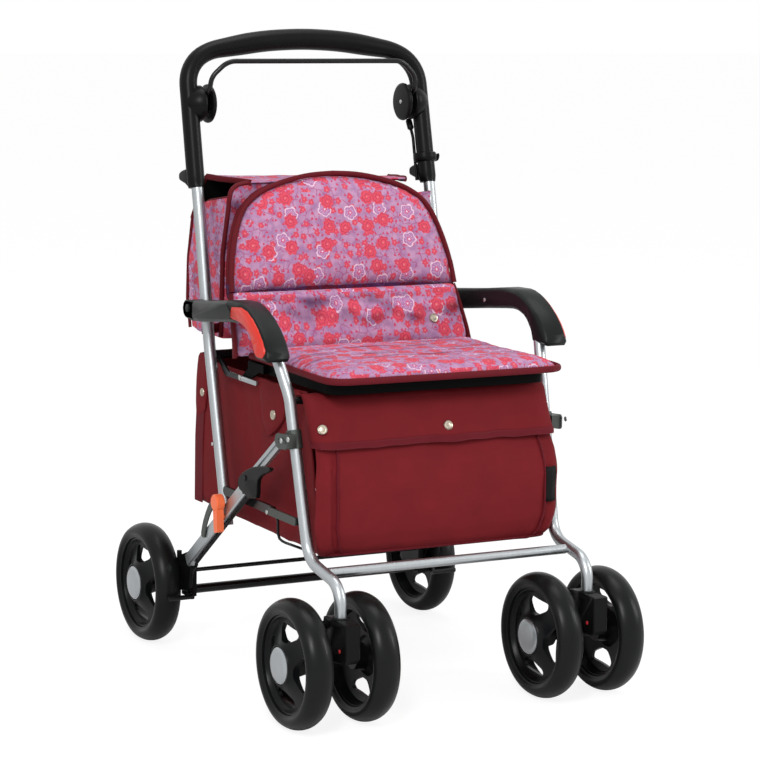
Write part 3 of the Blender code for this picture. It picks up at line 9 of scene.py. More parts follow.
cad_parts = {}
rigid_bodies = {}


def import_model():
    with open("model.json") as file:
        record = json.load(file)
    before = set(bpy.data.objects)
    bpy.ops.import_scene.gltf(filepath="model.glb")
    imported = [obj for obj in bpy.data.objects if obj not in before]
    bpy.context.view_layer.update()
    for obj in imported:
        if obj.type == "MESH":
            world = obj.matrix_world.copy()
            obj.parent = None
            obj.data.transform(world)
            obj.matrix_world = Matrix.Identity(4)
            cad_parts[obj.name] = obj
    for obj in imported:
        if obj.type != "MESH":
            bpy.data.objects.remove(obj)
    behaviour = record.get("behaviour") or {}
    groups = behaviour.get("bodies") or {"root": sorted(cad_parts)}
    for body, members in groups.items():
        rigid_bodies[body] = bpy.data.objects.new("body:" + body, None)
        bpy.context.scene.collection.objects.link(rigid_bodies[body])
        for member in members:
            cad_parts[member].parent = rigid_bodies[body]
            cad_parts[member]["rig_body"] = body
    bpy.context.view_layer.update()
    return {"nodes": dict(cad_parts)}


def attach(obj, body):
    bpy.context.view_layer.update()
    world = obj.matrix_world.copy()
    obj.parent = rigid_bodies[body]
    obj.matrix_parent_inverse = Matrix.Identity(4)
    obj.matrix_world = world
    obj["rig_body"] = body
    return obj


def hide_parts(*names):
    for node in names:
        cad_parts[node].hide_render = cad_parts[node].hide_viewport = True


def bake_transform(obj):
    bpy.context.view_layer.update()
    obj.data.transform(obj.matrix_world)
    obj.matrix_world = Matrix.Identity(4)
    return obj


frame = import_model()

scene = bpy.context.scene

# Sizes in metres, most of them the frame's own
WHEEL_R = 0.0825
TYRE_HALF = 0.0189
RIM_R = 0.0622
HUB_R = 0.0243
CAP_OUT = 0.0227
CAP_DOME = 0.0024
AXLE_FRONT = (-0.2403, 0.0825)
AXLE_REAR = (0.2403, 0.0825)
CASTER_X = 0.1795
FORK_SHOULDER_Z = 0.1400
EAR_Y = 0.0520
SHOE_END_X = 0.2250
STAY_SHIFT = 0.0092
UPRIGHT_FOOT_Z = 0.1950
PAIR_HALF = 0.0464
REAR_WHEEL_X = 0.2170
UPRIGHT_X = 0.1786
UPRIGHT_R = 0.0080
UPRIGHT_KINK = (0.1250, 0.4300)
UPRIGHT_BEND_Z = 0.5900
SLOPE_LOW, SLOPE_MID, SLOPE_UP = 0.2713, 0.2045, 0.2345
LEG_R = 0.0075
LEG_PATH = ((-0.1943, -0.1138, 0.4490), (-0.1864, -0.1368, 0.4000), (-0.1808, -0.1868, 0.1990),
            (-0.1797, -0.2734, 0.1830), (-0.1797, -0.2734, 0.1380))
LEG_BENDS = (0.090, 0.036, 0.031)
HANDLE_TOP_Z = 0.8362
SLEEVE_END_Z = 0.6382
SLEEVE_BACK = 0.0033
SLEEVE_R = 0.0121
GRIP_R = 0.0146
BRAKE_PIVOT = (0.1993, HANDLE_TOP_Z - 0.0867)
BRAKE_ARM_X = 0.1572
BRAKE_BAR_R = 0.0034
SEAT_FRONT_Y = -0.2100
SEAT_BACK_Y = 0.0350
PAD_HALF_W = 0.1690
PAD_Z = 0.4222
PAD_SHIFT = 0.0080
BACK_Z = 0.5045
BACK_LOW_Z = 0.4215
BACK_HALF_W = 0.1715
BACK_FRONT_Y = 0.0735
BACK_SLOPE = 0.2900
BACK_THICK = 0.0170
POUCH_HALF_W = 0.1550
POUCH_SIDE_Z = 0.6300
REAR_WALL_HALF_W = 0.1545
REAR_WALL_FOOT_Z = 0.5900
DIP_Z = 0.5600
BAG_HALF_W = 0.1590
BAG_BOTTOM_Z = 0.1970
BAG_REAR_Y = 0.2080
FLAP_CORNER_X = 0.1500

# Cloth: its thickness, and the mesh step, pressure and frames of the swelling cushions
CLOTH = 0.0020
VOXEL = 0.005
PRESSURE = 4.0
SWELL_FRAMES = 20

SIDES = ((-1, "L"), (1, "R"))
ACROSS, ALONG = Vector((1, 0, 0)), Vector((0, 1, 0))


def clamp(value):
    """The value held between 0 and 1."""
    return max(0.0, min(1.0, value))


def spread(low, high, steps):
    """Evenly spaced values from low to high, both included."""
    return [low + (high - low) * k / steps for k in range(steps + 1)]


def both_halves(half):
    """A line of points that ends in the middle, x = 0, followed by its mirror image."""
    return list(half) + [(-p[0], *p[1:]) for p in reversed(half[:-1])]


# Materials

def linear(code):
    """An sRGB hex colour in linear light."""
    parts = [int(code[i:i + 2], 16) / 255 for i in (1, 3, 5)]
    return tuple(p / 12.92 if p <= 0.04045 else ((p + 0.055) / 1.055) ** 2.4 for p in parts) + (1.0,)


def add(tree, kind, inputs=None, **settings):
    """Adds a node with its settings; an input is a value or the socket that feeds it."""
    made = tree.nodes.new(kind)
    for name, value in settings.items():
        setattr(made, name, value)
    for socket, value in (inputs or {}).items():
        if isinstance(value, bpy.types.NodeSocket):
            tree.links.new(value, made.inputs[socket])
        else:
            made.inputs[socket].default_value = value
    return made


def start(name, colour, metallic=0.0, roughness=0.5, **sockets):
    """A material with a plain shader: its tree and shader for the pattern that follows."""
    made = bpy.data.materials.new(name)
    made.use_nodes = True
    shader = made.node_tree.nodes["Principled BSDF"]
    shader.inputs["Base Color"].default_value = linear(colour)
    shader.inputs["Metallic"].default_value = metallic
    shader.inputs["Roughness"].default_value = roughness
    for socket, value in sockets.items():
        shader.inputs[socket.replace("_", " ")].default_value = value
    return made, made.node_tree, shader


def clouded(tree, shader, source, light, dark, rough, scale, stretch=(1, 1, 1)):
    """Slow variation of colour and gloss on a surface."""
    place = add(tree, "ShaderNodeMapping", {"Vector": source, "Scale": stretch})
    cloud = add(tree, "ShaderNodeTexNoise", {"Vector": place.outputs[0], "Scale": scale, "Detail": 4.0})
    tint = add(tree, "ShaderNodeMix", {0: cloud.outputs["Fac"], 6: linear(dark), 7: linear(light)},
               data_type="RGBA")
    gloss = add(tree, "ShaderNodeMapRange", {"Value": cloud.outputs["Fac"], 3: rough[0], 4: rough[1]})
    tree.links.new(tint.outputs[2], shader.inputs["Base Color"])
    tree.links.new(gloss.outputs[0], shader.inputs["Roughness"])
    return tint


def grained(tree, shader, source, scale, depth, strength=0.5, stretch=(1, 1, 1)):
    """A fine grain raised on a surface."""
    place = add(tree, "ShaderNodeMapping", {"Vector": source, "Scale": stretch})
    grain = add(tree, "ShaderNodeTexNoise", {"Vector": place.outputs[0], "Scale": scale, "Detail": 2.0})
    bump = add(tree, "ShaderNodeBump", {"Height": grain.outputs["Fac"], "Distance": depth,
                                        "Strength": strength})
    tree.links.new(bump.outputs[0], shader.inputs["Normal"])


def anodised_aluminium():
    """Anodised aluminium tube, drawn and dull: faint lines run along it."""
    made, tree, shader = start("anodised_aluminium", "#B4B9BB", 1.0, 0.38)
    source = add(tree, "ShaderNodeTexCoord").outputs["Object"]
    clouded(tree, shader, source, "#BCC0C2", "#A9AEB1", (0.32, 0.42), 1.0, (420, 420, 14))
    grained(tree, shader, source, 1.0, 0.00008, 0.35, (1200, 1200, 40))
    return made


def moulded(name, light, dark, rough, grain=0.0009, depth=0.00006, **sockets):
    """Moulded plastic with an eroded grain of that size, drawn as coarse as it needs to show."""
    made, tree, shader = start(name, light, 0.0, rough[0], **sockets)
    source = add(tree, "ShaderNodeTexCoord").outputs["Object"]
    clouded(tree, shader, source, light, dark, rough, 28.0)
    grained(tree, shader, source, 1.0 / grain, depth)
    return made


def painted_steel(name, light, dark, rough):
    """Steel with a baked coat: smooth, with a slight waviness."""
    made, tree, shader = start(name, light, 0.0, rough[0], Specular_IOR_Level=0.30)
    source = add(tree, "ShaderNodeTexCoord").outputs["Object"]
    clouded(tree, shader, source, light, dark, rough, 40.0)
    grained(tree, shader, source, 260.0, 0.00005, 0.3)
    return made


def plated_steel(name, light, dark, rough):
    """Zinc plated steel: grey, brushed by tumbling."""
    made, tree, shader = start(name, light, 0.85, rough[0])
    source = add(tree, "ShaderNodeTexCoord").outputs["Object"]
    clouded(tree, shader, source, light, dark, rough, 180.0)
    grained(tree, shader, source, 900.0, 0.00004, 0.4)
    return made


def tyre_rubber():
    """Moulded polyurethane tyre: dull, its colour and gloss a little uneven."""
    made, tree, shader = start("moulded_polyurethane_tyre", "#131514", 0.0, 0.5, Specular_IOR_Level=0.15)
    source = add(tree, "ShaderNodeTexCoord").outputs["Object"]
    clouded(tree, shader, source, "#151716", "#0D0E0E", (0.27, 0.36), 45.0)
    grained(tree, shader, source, 700.0, 0.00006, 0.4)
    return made


def brushed_cap():
    """Aluminium disc of the hub, turned in rings that follow the disc's own radius; slow light and dark
    sectors round it are painted reflection of the brushing.
    """
    made, tree, shader = start("turned_aluminium_cap", "#A9AEB0", 0.9, 0.34, Anisotropic=0.3)
    source = add(tree, "ShaderNodeUVMap", uv_map="turned").outputs[0]
    # Painted reflection: the colour changes slowly round the disc in light and dark sectors; the fine rings
    # along the radius are the turned grain.
    clouded(tree, shader, source, "#B6BABC", "#959A9D", (0.28, 0.42), 1.0, (1500, 3, 1))
    grained(tree, shader, source, 1.0, 0.00005, 0.4, (2600, 4, 1))
    return made


def weave_bump(tree, shader, source, pitch, depth, strength):
    """Crossing threads at that pitch, raised on the cloth; real threads are finer than would show."""
    place = add(tree, "ShaderNodeMapping", {"Vector": source, "Scale": (math.tau / pitch,) * 3})
    axes = add(tree, "ShaderNodeSeparateXYZ", {0: place.outputs[0]})
    across = add(tree, "ShaderNodeMath", {0: axes.outputs[0]}, operation="SINE")
    down = add(tree, "ShaderNodeMath", {0: axes.outputs[1]}, operation="SINE")
    threads = add(tree, "ShaderNodeMath", {0: across.outputs[0], 1: down.outputs[0]}, operation="MULTIPLY")
    bump = add(tree, "ShaderNodeBump", {"Height": threads.outputs[0], "Distance": depth,
                                        "Strength": strength})
    tree.links.new(bump.outputs[0], shader.inputs["Normal"])
    return threads.outputs[0]


def polyester_canvas(name, light, dark, rough=(0.72, 0.86)):
    """Coated polyester canvas: plain weave, dull, a little uneven in colour."""
    made, tree, shader = start(name, light, 0.0, 0.8, Specular_IOR_Level=0.14, Sheen_Weight=0.04,
                               Sheen_Roughness=0.5, Sheen_Tint=linear(light))
    source = add(tree, "ShaderNodeUVMap", uv_map="cloth").outputs[0]
    cloud = add(tree, "ShaderNodeTexNoise", {"Vector": source, "Scale": 26.0, "Detail": 5.0})
    threads = weave_bump(tree, shader, source, 0.0013, 0.00012, 0.35)
    level = add(tree, "ShaderNodeMath", {0: threads, 1: 0.10, 2: cloud.outputs["Fac"]},
                operation="MULTIPLY_ADD")
    tint = add(tree, "ShaderNodeMix", {0: level.outputs[0], 6: linear(dark), 7: linear(light)},
               data_type="RGBA")
    gloss = add(tree, "ShaderNodeMapRange", {"Value": cloud.outputs["Fac"], 3: rough[0], 4: rough[1]})
    tree.links.new(tint.outputs[2], shader.inputs["Base Color"])
    tree.links.new(gloss.outputs[0], shader.inputs["Roughness"])
    return made


def blossoms(tree, place, cell, size, petals, depth, shift, keep):
    """A layer of scattered blossoms on cloth laid out in millimetres.

    Gives the distance from each blossom's middle, 1 at its outline, its angle, and 1 where it is printed."""
    moved = add(tree, "ShaderNodeMapping", {"Vector": place, "Location": (shift, shift * 0.61, 0.0),
                                            "Scale": (1.0 / cell,) * 3})
    cells = add(tree, "ShaderNodeTexVoronoi", {"Vector": moved.outputs[0], "Scale": 1.0, "Randomness": 0.72},
                voronoi_dimensions="2D")
    away = add(tree, "ShaderNodeVectorMath", {0: moved.outputs[0], 1: cells.outputs["Position"]},
               operation="SUBTRACT")
    axes = add(tree, "ShaderNodeSeparateXYZ", {0: away.outputs[0]})
    angle = add(tree, "ShaderNodeMath", {0: axes.outputs[1], 1: axes.outputs[0]}, operation="ARCTAN2")
    radius = add(tree, "ShaderNodeVectorMath", {0: away.outputs[0]}, operation="LENGTH")
    chance = add(tree, "ShaderNodeSeparateColor", {0: cells.outputs["Color"]})
    turn = add(tree, "ShaderNodeMath", {0: angle.outputs[0], 1: petals * 0.5, 2: chance.outputs[0]},
               operation="MULTIPLY_ADD")
    wave = add(tree, "ShaderNodeMath", {0: turn.outputs[0]}, operation="COSINE")
    lobe = add(tree, "ShaderNodeMath", {0: wave.outputs[0]}, operation="ABSOLUTE")
    reach = add(tree, "ShaderNodeMapRange", {"Value": lobe.outputs[0], 3: size / cell * (1 - depth),
                                             4: size / cell})
    share = add(tree, "ShaderNodeMath", {0: radius.outputs["Value"], 1: reach.outputs[0]}, operation="DIVIDE")
    printed = add(tree, "ShaderNodeMath", {0: chance.outputs[1], 1: keep}, operation="LESS_THAN")
    return share.outputs[0], angle.outputs[0], printed.outputs[0]


def over(tree, below, colour, mask, printed=None):
    """A colour printed over what is below where the mask is 1."""
    if printed is not None:
        mask = add(tree, "ShaderNodeMath", {0: mask, 1: printed}, operation="MULTIPLY").outputs[0]
    return add(tree, "ShaderNodeMix", {0: mask, 6: below, 7: colour}, data_type="RGBA").outputs[2]


def band(tree, share, low, high, soft=0.12):
    """1 where the share lies between low and high, with soft ends."""
    rise = add(tree, "ShaderNodeMapRange", {"Value": share, 1: low - soft, 2: low, 3: 0.0, 4: 1.0})
    fall = add(tree, "ShaderNodeMapRange", {"Value": share, 1: high, 2: high + soft, 3: 1.0, 4: 0.0})
    return add(tree, "ShaderNodeMath", {0: rise.outputs[0], 1: fall.outputs[0]},
               operation="MULTIPLY").outputs[0]


def printed_cotton():
    """Cotton print: coral blossoms, pale outlined ones and buds on mauve, a generic scatter in millimetres.

    A point attribute darkens the cloth to purple: painted shade in tucks, creases and folds."""
    made, tree, shader = start("printed_cotton_blossoms", "#C295B6", 0.0, 0.82, Specular_IOR_Level=0.12,
                               Sheen_Weight=0.06, Sheen_Roughness=0.5)
    source = add(tree, "ShaderNodeUVMap", uv_map="cloth").outputs[0]
    wander = add(tree, "ShaderNodeTexNoise", {"Vector": source, "Scale": 260.0, "Detail": 3.0})
    soft = add(tree, "ShaderNodeVectorMath", {0: wander.outputs["Color"], 1: (0.0044, 0.0044, 0.0)},
               operation="MULTIPLY")
    bent_cloth = add(tree, "ShaderNodeVectorMath", {0: source, 1: soft.outputs[0]}, operation="ADD")
    place = add(tree, "ShaderNodeMapping", {"Vector": bent_cloth.outputs[0],
                                            "Scale": (1000.0,) * 3}).outputs[0]
    cloud = add(tree, "ShaderNodeTexNoise", {"Vector": source, "Scale": 85.0, "Detail": 7.0})
    depth = add(tree, "ShaderNodeMapRange", {"Value": cloud.outputs["Fac"], 1: 0.36, 2: 0.62})
    colour = add(tree, "ShaderNodeMix", {0: depth.outputs[0], 6: linear("#A67AA4"), 7: linear("#C295B6")},
                 data_type="RGBA").outputs[2]
    stems = add(tree, "ShaderNodeTexVoronoi", {"Vector": place, "Scale": 0.10, "Randomness": 1.0},
                voronoi_dimensions="2D", feature="DISTANCE_TO_EDGE")
    line = add(tree, "ShaderNodeMapRange", {"Value": stems.outputs["Distance"], 1: 0.02, 2: 0.09, 3: 0.70,
                                            4: 0.0})
    patch = add(tree, "ShaderNodeTexNoise", {"Vector": place, "Scale": 0.05, "Detail": 1.0})
    where = add(tree, "ShaderNodeMapRange", {"Value": patch.outputs["Fac"], 1: 0.46, 2: 0.54, 3: 0.0, 4: 1.0})
    colour = over(tree, colour, linear("#A8406F"), line.outputs[0], where.outputs[0])
    share, angle, printed = blossoms(tree, place, 7.5, 2.0, 3, 0.4, 31.0, 0.55)
    colour = over(tree, colour, linear("#CB4468"), band(tree, share, 0.0, 0.9), printed)
    share, angle, printed = blossoms(tree, place, 15.0, 4.8, 5, 0.34, 4.0, 0.66)
    colour = over(tree, colour, linear("#D44E64"), band(tree, share, 0.0, 0.92), printed)
    colour = over(tree, colour, linear("#E67A88"), band(tree, share, 0.0, 0.20), printed)
    share, angle, printed = blossoms(tree, place, 44.0, 10.5, 5, 0.22, 17.0, 0.62)
    rays = add(tree, "ShaderNodeMath", {0: angle, 1: 15.0}, operation="MULTIPLY")
    fan = add(tree, "ShaderNodeMath", {0: rays.outputs[0]}, operation="SINE")
    veins = add(tree, "ShaderNodeMapRange", {"Value": fan.outputs[0], 1: 0.35, 2: 0.9, 3: 0.0, 4: 0.8})
    colour = over(tree, colour, linear("#AF78A8"), band(tree, share, 0.0, 0.9), printed)
    ring = add(tree, "ShaderNodeMath", {0: band(tree, share, 0.30, 0.60), 1: printed}, operation="MULTIPLY")
    colour = over(tree, colour, linear("#E4C0D6"), veins.outputs[0], ring.outputs[0])
    colour = over(tree, colour, linear("#E6C6D8"), band(tree, share, 0.86, 0.97, 0.06), printed)
    colour = over(tree, colour, linear("#D25C82"), band(tree, share, 0.20, 0.28, 0.07), printed)
    colour = over(tree, colour, linear("#EBD0DE"), band(tree, share, 0.0, 0.10, 0.06), printed)
    share, angle, printed = blossoms(tree, place, 30.0, 10.4, 7, 0.20, 9.0, 0.70)
    swirl = add(tree, "ShaderNodeMath", {0: share, 1: 15.0, 2: angle}, operation="MULTIPLY_ADD")
    folds = add(tree, "ShaderNodeMath", {0: swirl.outputs[0]}, operation="SINE")
    leafy = add(tree, "ShaderNodeMapRange", {"Value": folds.outputs[0], 1: 0.1, 2: 0.9, 3: 0.0, 4: 0.85})
    rose = add(tree, "ShaderNodeMix", {0: leafy.outputs[0], 6: linear("#DC5263"), 7: linear("#BC3E5C")},
               data_type="RGBA").outputs[2]
    rose = over(tree, rose, linear("#E77C84"), band(tree, share, 0.0, 0.10, 0.1))
    colour = over(tree, colour, rose, band(tree, share, 0.0, 0.93, 0.10), printed)
    # Painted shade: the point attribute tints the print towards purple in tucks, creases and folds.
    painted_shade = add(tree, "ShaderNodeAttribute", attribute_name="painted_shade").outputs["Fac"]
    shade_purple = add(tree, "ShaderNodeMix", {0: painted_shade, 6: (1, 1, 1, 1), 7: linear("#64406C")}, data_type="RGBA")
    colour = add(tree, "ShaderNodeMix", {0: 1.0, 6: colour, 7: shade_purple.outputs[2]}, data_type="RGBA",
                 blend_type="MULTIPLY").outputs[2]
    threads = weave_bump(tree, shader, source, 0.0012, 0.00010, 0.30)
    shade = add(tree, "ShaderNodeMapRange", {"Value": threads, 1: -1.0, 2: 1.0, 3: 0.93, 4: 1.04})
    final = add(tree, "ShaderNodeVectorMath", {0: colour, "Scale": shade.outputs[0]}, operation="SCALE")
    tree.links.new(final.outputs[0], shader.inputs["Base Color"])
    return made


LOOK = {
    "tube": anodised_aluminium(),
    "black": moulded("moulded_black_nylon", "#101111", "#0A0A0A", (0.30, 0.40), Specular_IOR_Level=0.10),
    "handle": moulded("soft_black_grip", "#0E0F0F", "#090909", (0.30, 0.40), Specular_IOR_Level=0.12),
    "armrest": moulded("moulded_polypropylene_armrest", "#151918", "#0F1211", (0.34, 0.44), 0.0012, 0.00006,
                       Specular_IOR_Level=0.16),
    "rim": moulded("moulded_black_rim", "#0F1112", "#090A0B", (0.26, 0.36), Specular_IOR_Level=0.14),
    "red": moulded("moulded_red_insert", "#E03020", "#D02A1A", (0.30, 0.40), Specular_IOR_Level=0.40),
    "orange": moulded("moulded_orange_lever", "#FF7C48", "#FA7040", (0.38, 0.46), Specular_IOR_Level=0.40),
    "painted": painted_steel("black_painted_steel", "#0C0D0D", "#070808", (0.20, 0.28)),
    "grey": plated_steel("dark_plated_steel", "#5B5F5C", "#494D4A", (0.40, 0.55)),
    "bright": plated_steel("bright_plated_steel", "#C4C6C4", "#A8ABA9", (0.24, 0.36)),
    "snap": plated_steel("nickel_snap", "#C6BCAA", "#A2988A", (0.30, 0.44)),
    "tyre": tyre_rubber(),
    "cap": brushed_cap(),
    "canvas": polyester_canvas("maroon_polyester_canvas", "#7A1E24", "#65161B"),
    "binding": polyester_canvas("maroon_binding_tape", "#6A1520", "#540F18", (0.58, 0.72)),
    "print": printed_cotton(),
    "lining": polyester_canvas("black_lining_cloth", "#0E0C0D", "#080707"),
    "board": moulded("black_polypropylene_board", "#060606", "#040404", (0.50, 0.60),
                     Specular_IOR_Level=0.04),
    "tag": polyester_canvas("black_woven_tag", "#121212", "#0A0A0A", (0.45, 0.6)),
    "thread": moulded("maroon_sewing_thread", "#8E3340", "#7A2834", (0.5, 0.6)),
    "dot": moulded("red_marker_dot", "#D8303A", "#C8242E", (0.35, 0.45)),
}


# Mesh tools

def placed(name, data):
    """An object with that data in the scene."""
    made = bpy.data.objects.new(name, data)
    scene.collection.objects.link(made)
    return made


def reworked(mesh, change):
    """Runs change on the mesh as a BMesh and writes it back."""
    work = bmesh.new()
    work.from_mesh(mesh)
    change(work)
    work.to_mesh(mesh)
    work.free()


def faced_out(mesh):
    """Turns the faces of a closed mesh outward."""
    reworked(mesh, lambda work: bmesh.ops.recalc_face_normals(work, faces=work.faces))


def smoothed(mesh, sharp):
    """Smooth faces, with edges over that angle in degrees left sharp."""
    mesh.shade_smooth()
    mesh.set_sharp_from_angle(angle=math.radians(sharp))


def piece(name, verts, faces, look, sharp=42.0, outward=True):
    """A piece from points and faces, its faces outward and its shallow edges smooth."""
    mesh = bpy.data.meshes.new(name)
    mesh.from_pydata([tuple(v) for v in verts], [], faces)
    if outward:
        faced_out(mesh)
    smoothed(mesh, sharp)
    for one in (look if isinstance(look, list) else [look]):
        mesh.materials.append(LOOK[one])
    return placed(name, mesh)


def carried(made, body, *nodes):
    """The piece rides on the body and stands for the nodes."""
    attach(made, body)
    if nodes:
        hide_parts(*nodes)
    return made


def solid(name, shape, look, body, *nodes, sharp=60.0):
    """A piece from (points, faces) that rides on the body and stands for the nodes."""
    return carried(piece(name, *shape, look, sharp), body, *nodes)


def plain(made):
    """The piece's evaluated mesh without its modifiers."""
    mesh = bpy.data.meshes.new_from_object(made.evaluated_get(bpy.context.evaluated_depsgraph_get()))
    old = made.data
    made.modifiers.clear()
    made.data = mesh
    mesh.name = made.name
    if old.users == 0:
        bpy.data.meshes.remove(old)
    return made


def rounded(made, width, angle=38.0):
    """Softens the piece's sharp edges."""
    bevel = made.modifiers.new("edges", "BEVEL")
    bevel.width = width
    bevel.segments = 2
    bevel.limit_method = "ANGLE"
    bevel.angle_limit = math.radians(angle)
    bevel.harden_normals = True
    return made


def refined(node, look, width=0.0, angle=38.0, shift=(0.0, 0.0, 0.0)):
    """A rigid node's shape with merged points, smooth sides and soft edges, standing for that node."""
    source = frame["nodes"][node]
    mesh = source.data.copy()

    def change(work):
        bmesh.ops.remove_doubles(work, verts=work.verts, dist=0.000002)
        bmesh.ops.dissolve_limit(work, angle_limit=math.radians(0.5), verts=work.verts, edges=work.edges)
        bmesh.ops.translate(work, vec=shift, verts=work.verts)

    reworked(mesh, change)
    mesh.name = node + "_finished"
    mesh.materials.clear()
    mesh.materials.append(LOOK[look])
    smoothed(mesh, angle)
    made = placed(node + "_finished", mesh)
    if width:
        rounded(made, width, angle)
    return carried(made, source["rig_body"], node)


def with_painted_shade(made, rule):
    """Writes the point attribute of painted shade, 0 to 1, by rule(point): how much purple shade is painted
    on the cloth there.
    """
    layer = made.data.attributes.new("painted_shade", "FLOAT", "POINT")
    layer.data.foreach_set("value", [clamp(rule(v.co)) for v in made.data.vertices])
    return made


def bent(points, radii, steps=8):
    """The path through points with its inner corners rounded to radii."""
    points = [Vector(p) for p in points]
    path = [points[0]]
    for k in range(1, len(points) - 1):
        before = (points[k - 1] - points[k]).normalized()
        after = (points[k + 1] - points[k]).normalized()
        half = before.angle(after) / 2
        if abs(half - math.pi / 2) < 0.005:
            path.append(points[k])
            continue
        reach = radii[k - 1] / math.tan(half)
        middle = points[k] + (before + after).normalized() * (radii[k - 1] / math.sin(half))
        start_arm = points[k] + before * reach - middle
        normal = start_arm.cross(points[k] + after * reach - middle).normalized()
        for s in range(steps + 1):
            path.append(middle + Matrix.Rotation((math.pi - 2 * half) * s / steps, 3, normal) @ start_arm)
    path.append(points[-1])
    return path


def loft(rings, closed=True, ends=True):
    """Points and faces through rings of equal length; closed joins each ring's ends."""
    count = len(rings[0])
    verts = [p for ring in rings for p in ring]
    faces = []
    for k in range(len(rings) - 1):
        for i in range(count if closed else count - 1):
            j = (i + 1) % count
            faces.append((k * count + i, k * count + j, (k + 1) * count + j, (k + 1) * count + i))
    if ends and closed:
        faces.append(tuple(range(count)))
        faces.append(tuple((len(rings) - 1) * count + i for i in range(count)))
    return verts, faces


def through(points, steps=6, closed=False):
    """A smooth line through points."""
    points = [Vector(p) for p in points]
    count = len(points)
    line = []
    for k in range(count if closed else count - 1):
        if closed:
            a, b, c, d = (points[(k + i) % count] for i in (-1, 0, 1, 2))
        else:
            a, b, c, d = points[max(k - 1, 0)], points[k], points[k + 1], points[min(k + 2, count - 1)]
        for s in range(steps):
            t = s / steps
            line.append(0.5 * (2 * b + (c - a) * t + (2 * a - 5 * b + 4 * c - d) * t * t
                               + (3 * b - a - 3 * c + d) * t ** 3))
    if not closed:
        line.append(points[-1])
    return line


def curve(pairs, steps, closed=False):
    """A smooth line through flat points, as pairs."""
    return [(p.x, p.y) for p in through([(a, b, 0) for a, b in pairs], steps, closed)]


def share_along(line, t):
    """The point a share t of the way along a line, counted in its points."""
    place = t * (len(line) - 1)
    k = min(int(place), len(line) - 2)
    return line[k].lerp(line[k + 1], place - k)


def centre_of(pairs):
    """The mean of flat points."""
    return sum(a for a, b in pairs) / len(pairs), sum(b for a, b in pairs) / len(pairs)


def swept(path, radius, sides=12, flat=1.0, up=Vector((0, 0, 1))):
    """A round or flat bar along a path, of one radius or one for each point; flat narrows it across up."""
    path = [Vector(p) for p in path]
    rings = []
    for k, point in enumerate(path):
        ahead = (path[min(k + 1, len(path) - 1)] - path[max(k - 1, 0)]).normalized()
        side = ahead.cross(up).normalized()
        rise = side.cross(ahead)
        size = radius[k] if isinstance(radius, list) else radius
        turns = [math.tau * i / sides for i in range(sides)]
        rings.append([point + side * (math.cos(turn) * size * flat) + rise * (math.sin(turn) * size)
                      for turn in turns])
    return loft(rings)


def turned(profile, middle, centre, out=1, steps=96):
    """A ring turned about the axle from a closed profile of (offset, radius) points."""
    rings = []
    for i in range(steps):
        turn = math.tau * i / steps
        rings.append([(middle + out * x, centre[0] + r * math.cos(turn), centre[1] + r * math.sin(turn))
                      for x, r in profile])
    verts, faces = loft(rings, True, False)
    count = len(profile)
    last = (steps - 1) * count
    for i in range(count):
        j = (i + 1) % count
        faces.append((last + i, last + j, j, i))
    return verts, faces


def lay_cloth(made):
    """Lays the cloth's thread directions on the piece in metres: each face from the side that it looks to."""
    mesh = made.data
    layer = mesh.uv_layers.get("cloth") or mesh.uv_layers.new(name="cloth")
    mesh.uv_layers.active = layer
    co = np.empty(len(mesh.vertices) * 3)
    mesh.vertices.foreach_get("co", co)
    co = co.reshape(-1, 3)
    normal = np.empty(len(mesh.polygons) * 3)
    mesh.polygons.foreach_get("normal", normal)
    normal = np.abs(normal.reshape(-1, 3)) * (1.0, 1.0, 1.02)
    total = np.empty(len(mesh.polygons), int)
    mesh.polygons.foreach_get("loop_total", total)
    index = np.empty(len(mesh.loops), int)
    mesh.loops.foreach_get("vertex_index", index)
    way = np.repeat(np.argmax(normal, axis=1), total)
    points = co[index]
    uv = np.where((way == 0)[:, None], points[:, [1, 2]], points[:, [0, 2]])
    uv = np.where((way == 2)[:, None], points[:, [0, 1]], uv)
    layer.data.foreach_set("uv", uv.astype(np.float32).ravel())
    return made


def sewn(name, shape, look, body, *nodes, sharp=60.0):
    """A piece of cloth from (points, faces) that rides on the body and stands for the nodes."""
    return carried(lay_cloth(piece(name, *shape, look, sharp)), body, *nodes)


def turned_out(made, axis):
    """Turns an open sheet over if its face that lies lowest on the axis looks up it."""
    def change(work):
        outer = min(work.faces, key=lambda cell: cell.calc_center_median()[axis])
        if outer.normal[axis] > 0:
            bmesh.ops.reverse_faces(work, faces=work.faces)

    reworked(made.data, change)


def thickened(made, thickness, offset=0.0, sharp=None, smooth=True):
    """Gives an open sheet of cloth its thickness; its back takes the piece's second look if it has one."""
    thick = made.modifiers.new("cloth", "SOLIDIFY")
    thick.thickness = thickness
    thick.offset = offset
    thick.material_offset = len(made.data.materials) - 1
    plain(made)
    if smooth:
        made.data.shade_smooth()
    if sharp:
        made.data.set_sharp_from_angle(angle=math.radians(sharp))
    return made


def wave_noise(point, size, seed=0.0):
    """Smooth noise from -1 to 1 with features of that size."""
    return noise.noise(Vector(point) / size + Vector((seed, seed * 0.7, -seed)))


def crumpled(made, rule):
    """Moves each point of the piece along its normal by rule(point, normal), in metres."""
    mesh = made.data
    normals = [v.normal.copy() for v in mesh.vertices]
    for vertex, normal in zip(mesh.vertices, normals):
        vertex.co = vertex.co + normal * rule(vertex.co, normal)
    mesh.update()
    return made


